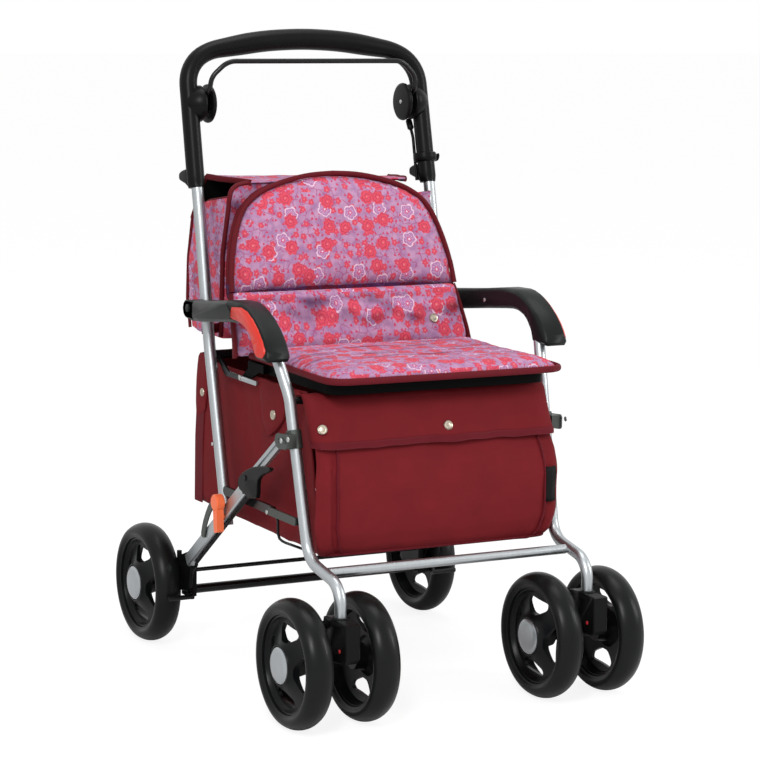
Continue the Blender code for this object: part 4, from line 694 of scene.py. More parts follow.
def stuffed(name, shape, look, cap):
    """A cushion swollen by a cloth simulation; no point moves further than the cap."""
    made = piece(name, *shape, look)
    remesh = made.modifiers.new("remesh", "REMESH")
    remesh.mode = "VOXEL"
    remesh.voxel_size = VOXEL
    plain(made)
    start_points = np.array([v.co for v in made.data.vertices])
    cloth = made.modifiers.new("swell", "CLOTH")
    settings = cloth.settings
    settings.quality = 5
    settings.mass = 0.3
    settings.tension_stiffness = settings.compression_stiffness = 15
    settings.shear_stiffness = 5
    settings.bending_stiffness = 0.5
    settings.use_pressure = True
    settings.uniform_pressure_force = PRESSURE
    settings.effector_weights.gravity = 0.0
    cloth.collision_settings.use_collision = False
    cloth.point_cache.frame_end = SWELL_FRAMES
    for step in range(1, SWELL_FRAMES + 1):
        scene.frame_set(step)
    swollen = made.evaluated_get(bpy.context.evaluated_depsgraph_get())
    moved = np.array([v.co for v in swollen.data.vertices]) - start_points
    made.modifiers.clear()
    length = np.linalg.norm(moved, axis=1, keepdims=True)
    held = start_points + moved * np.minimum(1.0, cap / np.maximum(length, 1e-9))
    made.data.vertices.foreach_set("co", held.astype(np.float32).ravel())
    made.data.update()
    scene.frame_set(1)
    finer = made.modifiers.new("finer", "SUBSURF")
    finer.levels = finer.render_levels = 1
    plain(made)
    made.data.materials.clear()
    made.data.materials.append(LOOK[look])
    made.data.shade_smooth()
    return made


# Repeated small things, made by geometry nodes

def modifier_input(made, tree, values):
    """Adds the tree to the piece as a modifier and sets its named inputs by their identifiers."""
    nodes = made.modifiers.new(tree.name, "NODES")
    nodes.node_group = tree
    for item in tree.interface.items_tree:
        if item.item_type == "SOCKET" and item.in_out == "INPUT" and item.name in values:
            nodes[item.identifier] = values[item.name]
    return plain(made)


def started_tree(name, kind, values):
    """A geometry node tree with inputs of that kind and a material, and the node that gives them."""
    tree = bpy.data.node_groups.new(name, "GeometryNodeTree")
    face = tree.interface
    face.new_socket("Geometry", in_out="INPUT", socket_type="NodeSocketGeometry")
    for label, value in values.items():
        face.new_socket(label, in_out="INPUT", socket_type=kind).default_value = value
    face.new_socket("Material", in_out="INPUT", socket_type="NodeSocketMaterial")
    face.new_socket("Geometry", in_out="OUTPUT", socket_type="NodeSocketGeometry")
    return tree, add(tree, "NodeGroupInput").outputs


def ended_tree(tree, geometry, inside):
    """Gives what the tree makes its material, and ends the tree."""
    dyed = add(tree, "GeometryNodeSetMaterial", {"Geometry": geometry, "Material": inside["Material"]})
    add(tree, "NodeGroupOutput", {"Geometry": dyed.outputs[0]})
    return tree


def stitch_tree():
    """Stitches along a line: inputs Pitch, Length, Thickness and Material."""
    tree, inside = started_tree("stitches", "NodeSocketFloat", {"Pitch": 0.004, "Length": 0.0026,
                                                                "Thickness": 0.0005})
    line = add(tree, "GeometryNodeMeshToCurve", {"Mesh": inside["Geometry"]})
    spaced = add(tree, "GeometryNodeResampleCurve", {"Curve": line.outputs[0], "Length": inside["Pitch"]},
                 mode="LENGTH")
    way = add(tree, "GeometryNodeInputTangent")
    turn = add(tree, "FunctionNodeAlignRotationToVector", {"Vector": way.outputs[0]}, axis="X")
    bead = add(tree, "GeometryNodeMeshUVSphere", {"Segments": 6, "Rings": 4, "Radius": 0.5})
    size = add(tree, "ShaderNodeCombineXYZ", {0: inside["Length"], 1: inside["Thickness"],
                                              2: inside["Thickness"]})
    spots = add(tree, "GeometryNodeInstanceOnPoints", {"Points": spaced.outputs[0],
                                                       "Instance": bead.outputs[0],
                                                       "Rotation": turn.outputs[0], "Scale": size.outputs[0]})
    real = add(tree, "GeometryNodeRealizeInstances", {0: spots.outputs[0]})
    return ended_tree(tree, real.outputs[0], inside)


def head_tree():
    """Domed rivet heads that look along their points' attribute facing: inputs Radius, Height, Material."""
    tree, inside = started_tree("rivet_heads", "NodeSocketFloat", {"Radius": 0.003, "Height": 0.0016})
    facing = add(tree, "GeometryNodeInputNamedAttribute", {"Name": "facing"}, data_type="FLOAT_VECTOR")
    turn = add(tree, "FunctionNodeAlignRotationToVector", {"Vector": facing.outputs[0]}, axis="Z")
    dome = add(tree, "GeometryNodeMeshUVSphere", {"Segments": 20, "Rings": 10, "Radius": 1.0})
    size = add(tree, "ShaderNodeCombineXYZ", {0: inside["Radius"], 1: inside["Radius"], 2: inside["Height"]})
    spots = add(tree, "GeometryNodeInstanceOnPoints", {"Points": inside["Geometry"],
                                                       "Instance": dome.outputs[0],
                                                       "Rotation": turn.outputs[0], "Scale": size.outputs[0]})
    real = add(tree, "GeometryNodeRealizeInstances", {0: spots.outputs[0]})
    smooth = add(tree, "GeometryNodeSetShadeSmooth", {"Geometry": real.outputs[0]})
    return ended_tree(tree, smooth.outputs[0], inside)


def spoke_tree():
    """One sector of a rim repeated round the axle: inputs Spokes and Material."""
    tree, inside = started_tree("rim_sectors", "NodeSocketInt", {"Spokes": 4})
    places = add(tree, "GeometryNodeMeshLine", {"Count": inside["Spokes"], "Offset": (0.0, 0.0, 0.0)})
    index = add(tree, "GeometryNodeInputIndex")
    step = add(tree, "ShaderNodeMath", {0: math.tau, 1: inside["Spokes"]}, operation="DIVIDE")
    angle = add(tree, "ShaderNodeMath", {0: index.outputs[0], 1: step.outputs[0]}, operation="MULTIPLY")
    turn = add(tree, "ShaderNodeCombineXYZ", {0: angle.outputs[0]})
    spots = add(tree, "GeometryNodeInstanceOnPoints", {"Points": places.outputs[0],
                                                       "Instance": inside["Geometry"],
                                                       "Rotation": turn.outputs[0]})
    real = add(tree, "GeometryNodeRealizeInstances", {0: spots.outputs[0]})
    merged = add(tree, "GeometryNodeMergeByDistance", {"Geometry": real.outputs[0], "Distance": 0.00002})
    return ended_tree(tree, merged.outputs[0], inside)


STITCHES = stitch_tree()
HEADS = head_tree()
SECTORS = spoke_tree()


def stitched(name, lines, body, pitch, length, thickness):
    """Rows of stitches along lines of points on one body."""
    verts, edges = [], []
    for line in lines:
        base = len(verts)
        verts += [tuple(p) for p in line]
        edges += [(base + i, base + i + 1) for i in range(len(line) - 1)]
    mesh = bpy.data.meshes.new(name)
    mesh.from_pydata(verts, edges, [])
    made = modifier_input(placed(name, mesh), STITCHES, {"Pitch": pitch, "Length": length,
                                                         "Thickness": thickness, "Material": LOOK["thread"]})
    return carried(made, body)


def heads(name, places, body, radius, height, look="bright"):
    """Rivet heads at (point, direction) places on one body."""
    mesh = bpy.data.meshes.new(name)
    mesh.from_pydata([tuple(p) for p, way in places], [], [])
    facing = mesh.attributes.new("facing", "FLOAT_VECTOR", "POINT")
    facing.data.foreach_set("vector", [c for p, way in places for c in way])
    inputs = {"Radius": radius, "Height": height, "Material": LOOK[look]}
    return carried(modifier_input(placed(name, mesh), HEADS, inputs), body)


def snap(name, place, way, body, radius=0.0064):
    """A pressed snap: a flat disc with a raised rim."""
    shape = [(0.0013, 0.0), (0.0013, 0.35), (0.0008, 0.55), (0.0007, 0.68), (0.0014, 0.80), (0.0017, 0.90),
             (0.0012, 0.98), (-0.0006, 1.0)]
    turn = Vector(way).normalized().to_track_quat("Z", "Y").to_matrix()
    verts, faces = [Vector(place) + turn @ Vector((0, 0, shape[0][0]))], []
    for h, r in shape[1:]:
        verts += [Vector(place) + turn @ Vector((radius * r * math.cos(math.tau * i / 32),
                                                 radius * r * math.sin(math.tau * i / 32), h))
                  for i in range(32)]
    for i in range(32):
        j = (i + 1) % 32
        faces.append((0, 1 + i, 1 + j))
        faces += [(1 + k * 32 + i, 33 + k * 32 + i, 33 + k * 32 + j, 1 + k * 32 + j)
                  for k in range(len(shape) - 2)]
    faces.append(tuple(1 + (len(shape) - 2) * 32 + i for i in range(32)))
    return carried(piece(name, verts, faces, "snap", 50.0), body)


# Wheels

def tyre_profile():
    """The tyre's round section: flat bead by the rim, groove, round shoulders."""
    half = TYRE_HALF
    side = [(half * 0.70, RIM_R + 0.0003), (half * 0.78, RIM_R + 0.0006), (half * 0.80, 0.0644)]
    side += curve([(half * 0.90, 0.0662), (half * 0.97, 0.0690), (half * 0.955, 0.0728),
                   (half * 0.84, 0.0765), (half * 0.58, 0.0798), (half * 0.30, 0.0818), (0.0, WHEEL_R)], 3)
    return side + [(-x, r) for x, r in reversed(side[:-1])]


def tyre(name, middle, centre, body):
    """A moulded tyre with smooth shoulders."""
    solid("moulded_tyre_" + name, turned(tyre_profile(), middle, centre), "tyre", body, "tyre_" + name,
          sharp=35.0)


def rim_sector(out, phase):
    """A quarter of the rim about the origin: ring, dished face, hub and half of two spokes round a window."""
    profile = [(-0.0130, 0.0068), (-0.0130, 0.0150), (0.0020, 0.0180), (0.0080, 0.0260), (0.0060, 0.0380),
               (0.0030, 0.0520), (0.0000, 0.0575), (-0.0085, 0.0595), (-0.0122, 0.0602), (-0.0122, RIM_R),
               (0.0122, RIM_R), (0.0122, 0.0598), (0.0085, 0.0580), (0.0062, 0.0560), (0.0068, 0.0535),
               (0.0094, 0.0440), (0.0140, 0.0345), (0.0188, 0.0270), (0.0210, 0.0258),
               (0.0212, HUB_R + 0.0004), (0.0190, HUB_R), (0.0180, 0.0068)]
    steps = 24
    rings = []
    for i in range(steps + 1):
        turn = math.tau / 4 * (i / steps - 0.5) + phase
        rings.append([(out * x, r * math.cos(turn), r * math.sin(turn)) for x, r in profile])
    verts, faces = loft(rings)
    sector = piece("rim_sector", verts, faces, "rim", 30.0)
    corners = [(0.0312, 14.0), (0.0312, -14.0), (0.0470, -29.5), (0.0538, -24.0), (0.0538, 24.0),
               (0.0470, 29.5)]
    flat = [Vector((r * math.cos(phase + math.radians(a)), r * math.sin(phase + math.radians(a)), 0))
            for r, a in corners]
    line = []
    for k, corner in enumerate(flat):
        before = flat[k - 1] - corner
        after = flat[(k + 1) % 6] - corner
        reach = {3: (0.0028, 0.0050), 4: (0.0050, 0.0028)}.get(k, (0.30 * before.length, 0.30 * after.length))
        near, far = corner + before.normalized() * reach[0], corner + after.normalized() * reach[1]
        for s in range(7):
            t = s / 6
            point = near * (1 - t) ** 2 + corner * 2 * t * (1 - t) + far * t * t
            radius = point.length
            if radius > 0.0536:
                point = point * (0.0538 / radius)
            line.append((point.x, point.y))
    verts, faces = loft([[(-0.03, y, z) for y, z in line], [(0.03, y, z) for y, z in line]])
    cutter = piece("rim_window", verts, faces, "rim")
    cut = sector.modifiers.new("window", "BOOLEAN")
    cut.operation = "DIFFERENCE"
    cut.solver = "EXACT"
    cut.object = cutter
    plain(sector)
    bpy.data.objects.remove(cutter)

    def at(cell, way):
        return all(abs(math.remainder(math.atan2(v.co.z, v.co.y) - phase - way, math.tau)) < 1e-4
                   for v in cell.verts)

    def change(work):
        ends = [cell for cell in work.faces if at(cell, -math.tau / 8) or at(cell, math.tau / 8)]
        bmesh.ops.delete(work, geom=ends, context="FACES")

    reworked(sector.data, change)
    return sector


def rim_mesh(out):
    """The whole rim about the origin with softened window edges."""
    sector = rim_sector(out, math.pi - math.radians(85))
    modifier_input(sector, SECTORS, {"Spokes": 4, "Material": LOOK["rim"]})
    faced_out(sector.data)
    smoothed(sector.data, 32)
    rounded(sector, 0.0009, 40.0)
    plain(sector)
    mesh = sector.data.copy()
    bpy.data.objects.remove(sector)
    return mesh


def hub_cap(name, middle, centre, out, body):
    """The round grey cap, slightly domed, with a groove round it."""
    steps = 48
    dome = CAP_OUT + CAP_DOME
    radii = [(dome, 0.0), (dome - 0.0001, 0.0060), (dome - 0.0004, 0.0120), (dome - 0.0010, 0.0175),
             (dome - 0.0019, 0.0208), (dome - 0.0036, 0.0230), (0.0185, 0.0234)]
    verts, faces = [(middle + out * radii[0][0], *centre)], []
    uvs = [(0.0, 0.0)]
    for x, r in radii[1:]:
        for i in range(steps):
            turn = math.tau * i / steps
            verts.append((middle + out * x, centre[0] + r * math.cos(turn), centre[1] + r * math.sin(turn)))
            uvs.append((r, i / steps))
    rows = len(radii) - 1
    for i in range(steps):
        j = (i + 1) % steps
        faces.append((0, 1 + i, 1 + j))
        for k in range(rows - 1):
            a, b = 1 + k * steps, 1 + (k + 1) * steps
            faces.append((a + i, b + i, b + j, a + j))
    faces.append(tuple(1 + (rows - 1) * steps + i for i in range(steps)))
    made = piece("hub_cap_" + name, verts, faces, "cap", 40.0)
    layer = made.data.uv_layers.new(name="turned")
    for cell in made.data.polygons:
        wrap = any(made.data.loops[c].vertex_index and uvs[made.data.loops[c].vertex_index][1] > 0.9
                   for c in cell.loop_indices)
        for c in cell.loop_indices:
            u, v = uvs[made.data.loops[c].vertex_index]
            layer.data[c].uv = (u, v + 1.0 if wrap and v < 0.1 else v)
    carried(made, body)


def wheel(name, middle, centre, out, meshes):
    """A tyre, a rim and its cap, on the wheel's own body."""
    body = "wheel_" + name
    tyre(name, middle, centre, body)
    mesh = meshes[out].copy()
    mesh.transform(Matrix.Translation((middle, *centre)))
    carried(placed("moulded_rim_" + name, mesh), body, "rim_" + name)
    hub_cap(name, middle, centre, out, body)


def wheels():
    """Two pairs of front wheels and two rear wheels; out is the side that the cap is on."""
    meshes = {1: rim_mesh(1), -1: rim_mesh(-1)}
    wheel("front_L_outer", -CASTER_X - PAIR_HALF, AXLE_FRONT, -1, meshes)
    wheel("front_L_inner", -CASTER_X + PAIR_HALF, AXLE_FRONT, 1, meshes)
    wheel("front_R_inner", CASTER_X - PAIR_HALF, AXLE_FRONT, -1, meshes)
    wheel("front_R_outer", CASTER_X + PAIR_HALF, AXLE_FRONT, 1, meshes)
    wheel("rear_L", -REAR_WHEEL_X, AXLE_REAR, -1, meshes)
    wheel("rear_R", REAR_WHEEL_X, AXLE_REAR, 1, meshes)


# Rigid frame

def upright_y(z):
    """The upright's centre line: y at height z."""
    y, kink = UPRIGHT_KINK
    if z < kink:
        return y + SLOPE_LOW * (z - kink)
    if z < UPRIGHT_BEND_Z:
        return y + SLOPE_MID * (z - kink)
    return y + SLOPE_MID * (UPRIGHT_BEND_Z - kink) + SLOPE_UP * (z - UPRIGHT_BEND_Z)


def uprights():
    """Rear uprights: smooth round tube from the rear leg up into the sleeve."""
    for sign, side in SIDES:
        heights = (UPRIGHT_FOOT_Z, UPRIGHT_KINK[1], UPRIGHT_BEND_Z, 0.7280)
        line = [(sign * UPRIGHT_X, upright_y(z), z) for z in heights]
        solid("upright_tube_" + side, swept(bent(line, [0.30, 0.30], 4), UPRIGHT_R, 32, up=ACROSS), "tube",
              "frame", "upright_" + side)


def front_legs():
    """Front legs: smooth round tube bent under the armrest and above the caster, with the stay's lug."""
    for sign, side in SIDES:
        line = [(-sign * x, y, z) for x, y, z in LEG_PATH]
        solid("front_leg_tube_" + side, swept(bent(line, LEG_BENDS, 10), LEG_R, 32, up=ACROSS), "tube",
              "front_frame", "front_leg_" + side)
        lug = [(-0.1720, 0.2480), (-0.1560, 0.2480), (-0.1510, 0.2430), (-0.1560, 0.2380), (-0.1720, 0.2380)]
        shape = loft([[(sign * x, y, z) for y, z in lug] for x in (0.1790, 0.1842)])
        carried(rounded(piece("stay_lug_" + side, *shape, "black", 30.0), 0.0008), "front_frame")


def handle_path():
    """The handle's centre line and its radius at each point: sleeves, bends and a thicker grip."""
    top = HANDLE_TOP_Z
    line = both_halves([(-UPRIGHT_X, SLEEVE_END_Z), (-UPRIGHT_X + 0.0014, top - 0.0322),
                        (-0.1380, top - 0.0150), (-0.0600, top - 0.0027), (0.0, top)])
    corners = bent([(x, upright_y(z) + SLEEVE_BACK, z) for x, z in line],
                   [0.048, 0.080, 0.50, 0.50, 0.50, 0.080, 0.048], 9)
    path = []
    for a, b in zip(corners, corners[1:]):
        parts = max(1, int((b - a).length / 0.008))
        path += [a.lerp(b, k / parts) for k in range(parts)]
    path.append(corners[-1])
    sizes = []
    for point in path:
        share = clamp((0.150 - abs(point.x)) / 0.070)
        share = share * share * (3 - 2 * share)
        above = point.z - SLEEVE_END_Z
        mouth = min(1.0, above / 0.004 + 0.55) if above < 0.0018 else 1.0
        sizes.append((SLEEVE_R + (GRIP_R - SLEEVE_R) * share) * max(0.90, mouth))
    return path, sizes


def handle():
    """One black bent tube with open sleeves and a thicker grip, and the cable clip on the right."""
    path, sizes = handle_path()
    sides = 32
    outer = swept(path, sizes, sides, up=ALONG)[0]
    rings = [outer[k * sides:(k + 1) * sides] for k in range(len(path))]
    depth = 12

    def bore(k):
        middle = path[k] - Vector((0, SLEEVE_BACK, 0))
        wide = (UPRIGHT_R + 0.0003) / sizes[k]
        return [middle + (p - path[k]) * wide for p in rings[k]]

    first = [bore(k) for k in reversed(range(depth))]
    last = [bore(k) for k in range(len(path) - 1, len(path) - 1 - depth, -1)]
    solid("bent_handle_tube", loft(first + rings + last), "handle", "handle", "handle", sharp=40.0)
    up = Vector((0, SLOPE_UP, 1)).normalized()
    z = SLEEVE_END_Z + 0.0278
    low = Vector((UPRIGHT_X - 0.0012, upright_y(z) + SLEEVE_BACK, z))
    line = [low + up * d for d in (0.0, 0.0004, 0.0016, 0.0060, 0.0112, 0.0124, 0.0128)]
    solid("cable_clip_band", swept(line, [0.0125, 0.0152, 0.0163, 0.0165, 0.0163, 0.0152, 0.0125], 32,
                                   up=ACROSS), "black", "handle", sharp=40.0)
    hook = [low + Vector((0.0140, 0.0, 0.0020)), low + Vector((0.0185, -0.0005, 0.0030)),
            low + Vector((0.0200, -0.0008, 0.0075)), low + Vector((0.0192, -0.0008, 0.0110))]
    solid("cable_clip_hook", swept(through(hook, 5), 0.0022, 12, up=ALONG), "black", "handle")


def brake_housings():
    """Brake housings: a thin disc inside, a neck for the lever's eye, a bulb round the handle's tube."""
    y, z = BRAKE_PIVOT
    disc = [(0.1472, 0.0), (0.1472, 0.0215), (0.1476, 0.0240), (0.1488, 0.0258), (0.1506, 0.0264),
            (0.1526, 0.0258), (0.1537, 0.0240), (0.1540, 0.0200), (0.1540, 0.0054), (0.1604, 0.0054),
            (0.1604, 0.0215), (0.1608, 0.0236), (0.1624, 0.0247), (0.1650, 0.0246), (0.1690, 0.0236),
            (0.1740, 0.0212), (0.1790, 0.0178), (0.1840, 0.0128), (0.1872, 0.0070), (0.1882, 0.0)]
    for sign, side in SIDES:
        rings = []
        for i in range(56):
            turn = math.tau * i / 56
            rings.append([(sign * x, y + r * math.cos(turn), z + r * math.sin(turn)) for x, r in disc])
        verts, faces = loft(rings, False, False)
        count = len(disc)
        faces += [(55 * count + i, 55 * count + i + 1, i + 1, i) for i in range(count - 1)]
        made = piece("brake_bulb_" + side, verts, faces, "handle", 40.0)
        reworked(made.data, lambda work: bmesh.ops.remove_doubles(work, verts=work.verts, dist=0.00001))
        carried(made, "handle", "brake_housing_" + side)


def brake_bar():
    """The brake lever bar: straight under the grip, curved down to an eye on each housing's neck."""
    y, z = BRAKE_PIVOT
    x = BRAKE_ARM_X
    half = [(-x, y - 0.0080, z + 0.0055), (-x - 0.0008, y - 0.0218, z + 0.0195),
            (-x + 0.0015, y - 0.0238, z + 0.0375), (-0.1340, y - 0.0275, HANDLE_TOP_Z - 0.0284)]
    line = half + [(-a, b, c) for a, b, c in reversed(half)]
    path = bent(line, [0.020, 0.024, 0.030, 0.030, 0.024, 0.020], 8)
    solid("brake_lever_bar", swept(path, BRAKE_BAR_R, 20, up=Vector((0, 0.8, -0.6))), "painted", "brake_bar",
          "brake_bar")
    eye = [(-0.0029, 0.0060), (-0.0029, 0.0098), (-0.0021, 0.0106), (0.0021, 0.0106), (0.0029, 0.0098),
           (0.0029, 0.0060)]
    for sign, side in SIDES:
        solid("brake_bar_eye_" + side, turned(eye, sign * x, BRAKE_PIVOT, 1, 40), "painted", "brake_bar",
              sharp=40.0)


def brake_cable():
    """The cable's end piece at the right brake housing and the thin cable down the sleeve into the clip."""
    def at(z):
        return Vector((UPRIGHT_X - 0.0134, upright_y(z) + SLEEVE_BACK + 0.0072, z))

    top = Vector((0.1655, 0.2090, 0.7235))
    end = top.lerp(at(0.7000), 0.55)
    solid("cable_end_box", swept([top, top.lerp(end, 0.12), end.lerp(top, 0.12), end],
                                 [0.0034, 0.0046, 0.0046, 0.0034], 16, up=ACROSS), "black", "handle",
          "brake_cable_handle", sharp=50.0)
    line = bent([end, at(0.7000), at(0.6400)], [0.03], 8)
    solid("brake_cable_on_sleeve", swept(line, 0.0022, 14, up=ACROSS), "black", "handle")


def outline_inset(line, step):
    """A smooth closed (y, z) outline drawn in by step along its normals."""
    count = len(line)
    turning = sum(line[k - 1][0] * line[k][1] - line[k][0] * line[k - 1][1] for k in range(count))
    way = 1.0 if turning > 0 else -1.0
    moved = []
    for k in range(count):
        ahead = Vector(line[(k + 1) % count]) - Vector(line[k - 1])
        normal = Vector((-ahead.y, ahead.x)).normalized() * way
        moved.append((line[k][0] + normal.x * step, line[k][1] + normal.y * step))
    return moved


def armrests():
    """Armrests with their red inserts and the pivot blocks behind them."""
    block = [(0.1120, 0.4905), (0.1440, 0.4900), (0.1530, 0.4860), (0.1560, 0.4780), (0.1530, 0.4700),
             (0.1440, 0.4660), (0.1120, 0.4665)]
    pivot = curve(block, 5, True)
    for sign, side in SIDES:
        refined("armrest_" + side, "armrest", 0.0011, 50.0)
        refined("armrest_insert_" + side, "red", 0.0004, 50.0)
        steps = ((0.1873, 0.0015), (0.1882, 0.0), (0.2040, 0.0), (0.2050, 0.0015))
        rings = [[(sign * x, y, z) for y, z in outline_inset(pivot, step)] for x, step in steps]
        solid("armrest_pivot_" + side, loft(rings), "armrest", "front_frame", sharp=50.0)


def dark_ears():
    """The seat's hinge bar: bright in front, its ears painted black towards the uprights."""
    bar = refined("seat_hinge_bar", "tube")
    bar.data.materials.append(LOOK["painted"])
    reworked(bar.data, lambda work: bmesh.ops.bisect_plane(
        work, geom=work.verts[:] + work.edges[:] + work.faces[:], plane_co=(0, EAR_Y, 0), plane_no=(0, 1, 0)))
    for cell in bar.data.polygons:
        if cell.center.y > EAR_Y:
            cell.material_index = 1


def rigid_frame():
    """The frame's own nodes with softened edges and their finishes."""
    uprights()
    front_legs()
    handle()
    brake_housings()
    brake_bar()
    brake_cable()
    armrests()
    dark_ears()
    for sign, side in SIDES:
        for node, look, width in (("leg_bracket_", "grey", 0.0004), ("upper_link_", "tube", 0.0004),
                                  ("rear_leg_", "tube", 0.0004), ("knee_", "black", 0.0006),
                                  ("wheel_bracket_", "black", 0.0006)):
            refined(node + side, look, width)
        refined("stay_" + side, "grey", 0.0004, shift=(sign * STAY_SHIFT, 0.0, 0.0))
        refined("lock_knob_" + side, "black", 0.0006)
        fork = refined("caster_fork_" + side, "black", 0.0006)
        for vertex in fork.data.vertices:
            vertex.co.z -= 0.70 * max(0.0, vertex.co.z - FORK_SHOULDER_Z)
    refined("front_crossbar", "tube")
    for node in ("front_upper_bar", "rear_beam", "bag_support"):
        refined(node, "painted")
    rod = refined("brake_rod", "painted")
    for vertex in rod.data.vertices:
        vertex.co.x = max(-SHOE_END_X, min(SHOE_END_X, vertex.co.x))
    refined("lock_lever", "orange", 0.0006)
    refined("lock_hook", "grey", 0.0003)
    refined("brake_cable_upright", "black", 0.0, 50.0)
    refined("brake_cable_leg", "black", 0.0, 50.0)
    refined("seat_board", "board", 0.0008)


# Soft pieces

def back_place(u, v, h):
    """A point on the upper backrest: u across, v up, h towards the front."""
    lean = Vector((0, BACK_SLOPE, 1)).normalized()
    out = Vector((0, -lean.z, lean.y))
    base = Vector((0, BACK_FRONT_Y + BACK_THICK + (v - BACK_Z) * BACK_SLOPE, v))
    return base + Vector((u, 0, 0)) + out * h


def back_edge():
    """Half the upper backrest's outline, from the seam up to the middle of the top."""
    seam = BACK_Z - 0.0018
    right = [(BACK_HALF_W, seam), (0.1690, 0.5300), (0.1640, 0.5560), (0.1550, 0.5850), (0.1440, 0.6080),
             (0.1290, 0.6240), (0.1050, 0.6375), (0.0710, 0.6480), (0.0350, 0.6545), (0.0, 0.6565)]
    return curve(right, 4)


def slab(outline, place, layers):
    """A closed slab: each layer is (inset towards the middle, height)."""
    cu, cv = centre_of(outline)
    return loft([[place(cu + (u - cu) * s, cv + (v - cv) * s, h) for u, v in outline] for s, h in layers])


def backrest_upper():
    """Upper back cushion, printed cloth, with piping round its front edge and a bound rear edge."""
    edge = back_edge()
    outline = both_halves(edge) + [(u, BACK_Z - 0.0018) for u in spread(-BACK_HALF_W, BACK_HALF_W, 12)[1:-1]]
    layers = [(0.92, 0.0005), (0.980, 0.0010), (0.998, 0.0040), (1.000, 0.0130), (0.985, 0.0160),
              (0.82, 0.0178), (0.55, 0.0190), (0.25, 0.0195)]
    made = stuffed("backrest_upper_cushion", slab(outline, back_place, layers), "print", 0.0055)

    def rule(point, normal):
        low = max(0.0, 1.0 - (point.z - BACK_Z) / 0.026)
        folds = wave_noise((point.x, point.y * 0.3, point.z * 0.55), 0.045, 3.0) * 0.0009
        tuck = -0.0050 * low ** 1.6 * max(0.0, -normal.y)
        pinch = wave_noise((point.x, 0, point.z * 0.2), 0.016, 8.0) * 0.0012 * low
        return folds + tuck + pinch

    crumpled(made, rule)
    lay_cloth(made)
    for vertex in made.data.vertices:
        vertex.co.x += 0.0042 * clamp((vertex.co.x - 0.10) / 0.04)
        vertex.co.z -= 0.0062 * clamp(1 - (vertex.co.z - BACK_Z) / 0.03)
    # Painted shade: the cloth is darkened to purple just above the seam, where it tucks in.
    with_painted_shade(made, lambda p: 1.15 * max(0.0, 1 - (p.z - BACK_Z + 0.006) / 0.0240) ** 1.1
          * (0.90 + 0.5 * wave_noise((p.x, 0, 0), 0.02)))
    carried(made, "frame", "backrest_upper")
    lean = Vector((0, -1, BACK_SLOPE))
    front = [back_place(u * 0.989, v - (0.0024 if v > 0.53 else 0.0), 0.0160) for u, v in edge]
    sewn("backrest_front_piping", swept(both_halves(front), 0.0034, 14, up=lean), "binding", "frame")
    rear = [back_place(u * 0.985, v - 0.001, 0.0020) for u, v in edge]
    sewn("backrest_rear_piping", swept(both_halves(rear), 0.0030, 8, up=lean), "binding", "frame")
    # A strip of print closes the seam between the cushions; it is painted all over in the purple shade of the
    # tuck.
    strip = [[back_place(u, v, h) for h, v in ((0.0020, BACK_Z - 0.0080), (0.0105, BACK_Z - 0.0075),
                                               (0.0105, BACK_Z + 0.0060), (0.0020, BACK_Z + 0.0120))]
             for u in spread(-0.1712, 0.1712, 40)]
    with_painted_shade(sewn("backrest_seam_shade_strip", loft(strip), "print", "frame"), lambda p: 1.0)


def low_front_y(v):
    """The lower backrest's front face: y at height v."""
    points = [(BACK_LOW_Z, 0.0365), (0.4464, 0.0440), (0.4755, 0.0580), (BACK_Z, 0.0730)]
    for (z0, y0), (z1, y1) in zip(points, points[1:]):
        if v <= z1 + 1e-9:
            return y0 + (y1 - y0) * (v - z0) / (z1 - z0)
    return y1


def low_half_width(v):
    """Half the lower backrest's width at height v."""
    share = (v - BACK_LOW_Z) / (BACK_Z - BACK_LOW_Z)
    return 0.1700 + 0.0095 * (1 - share) ** 0.8


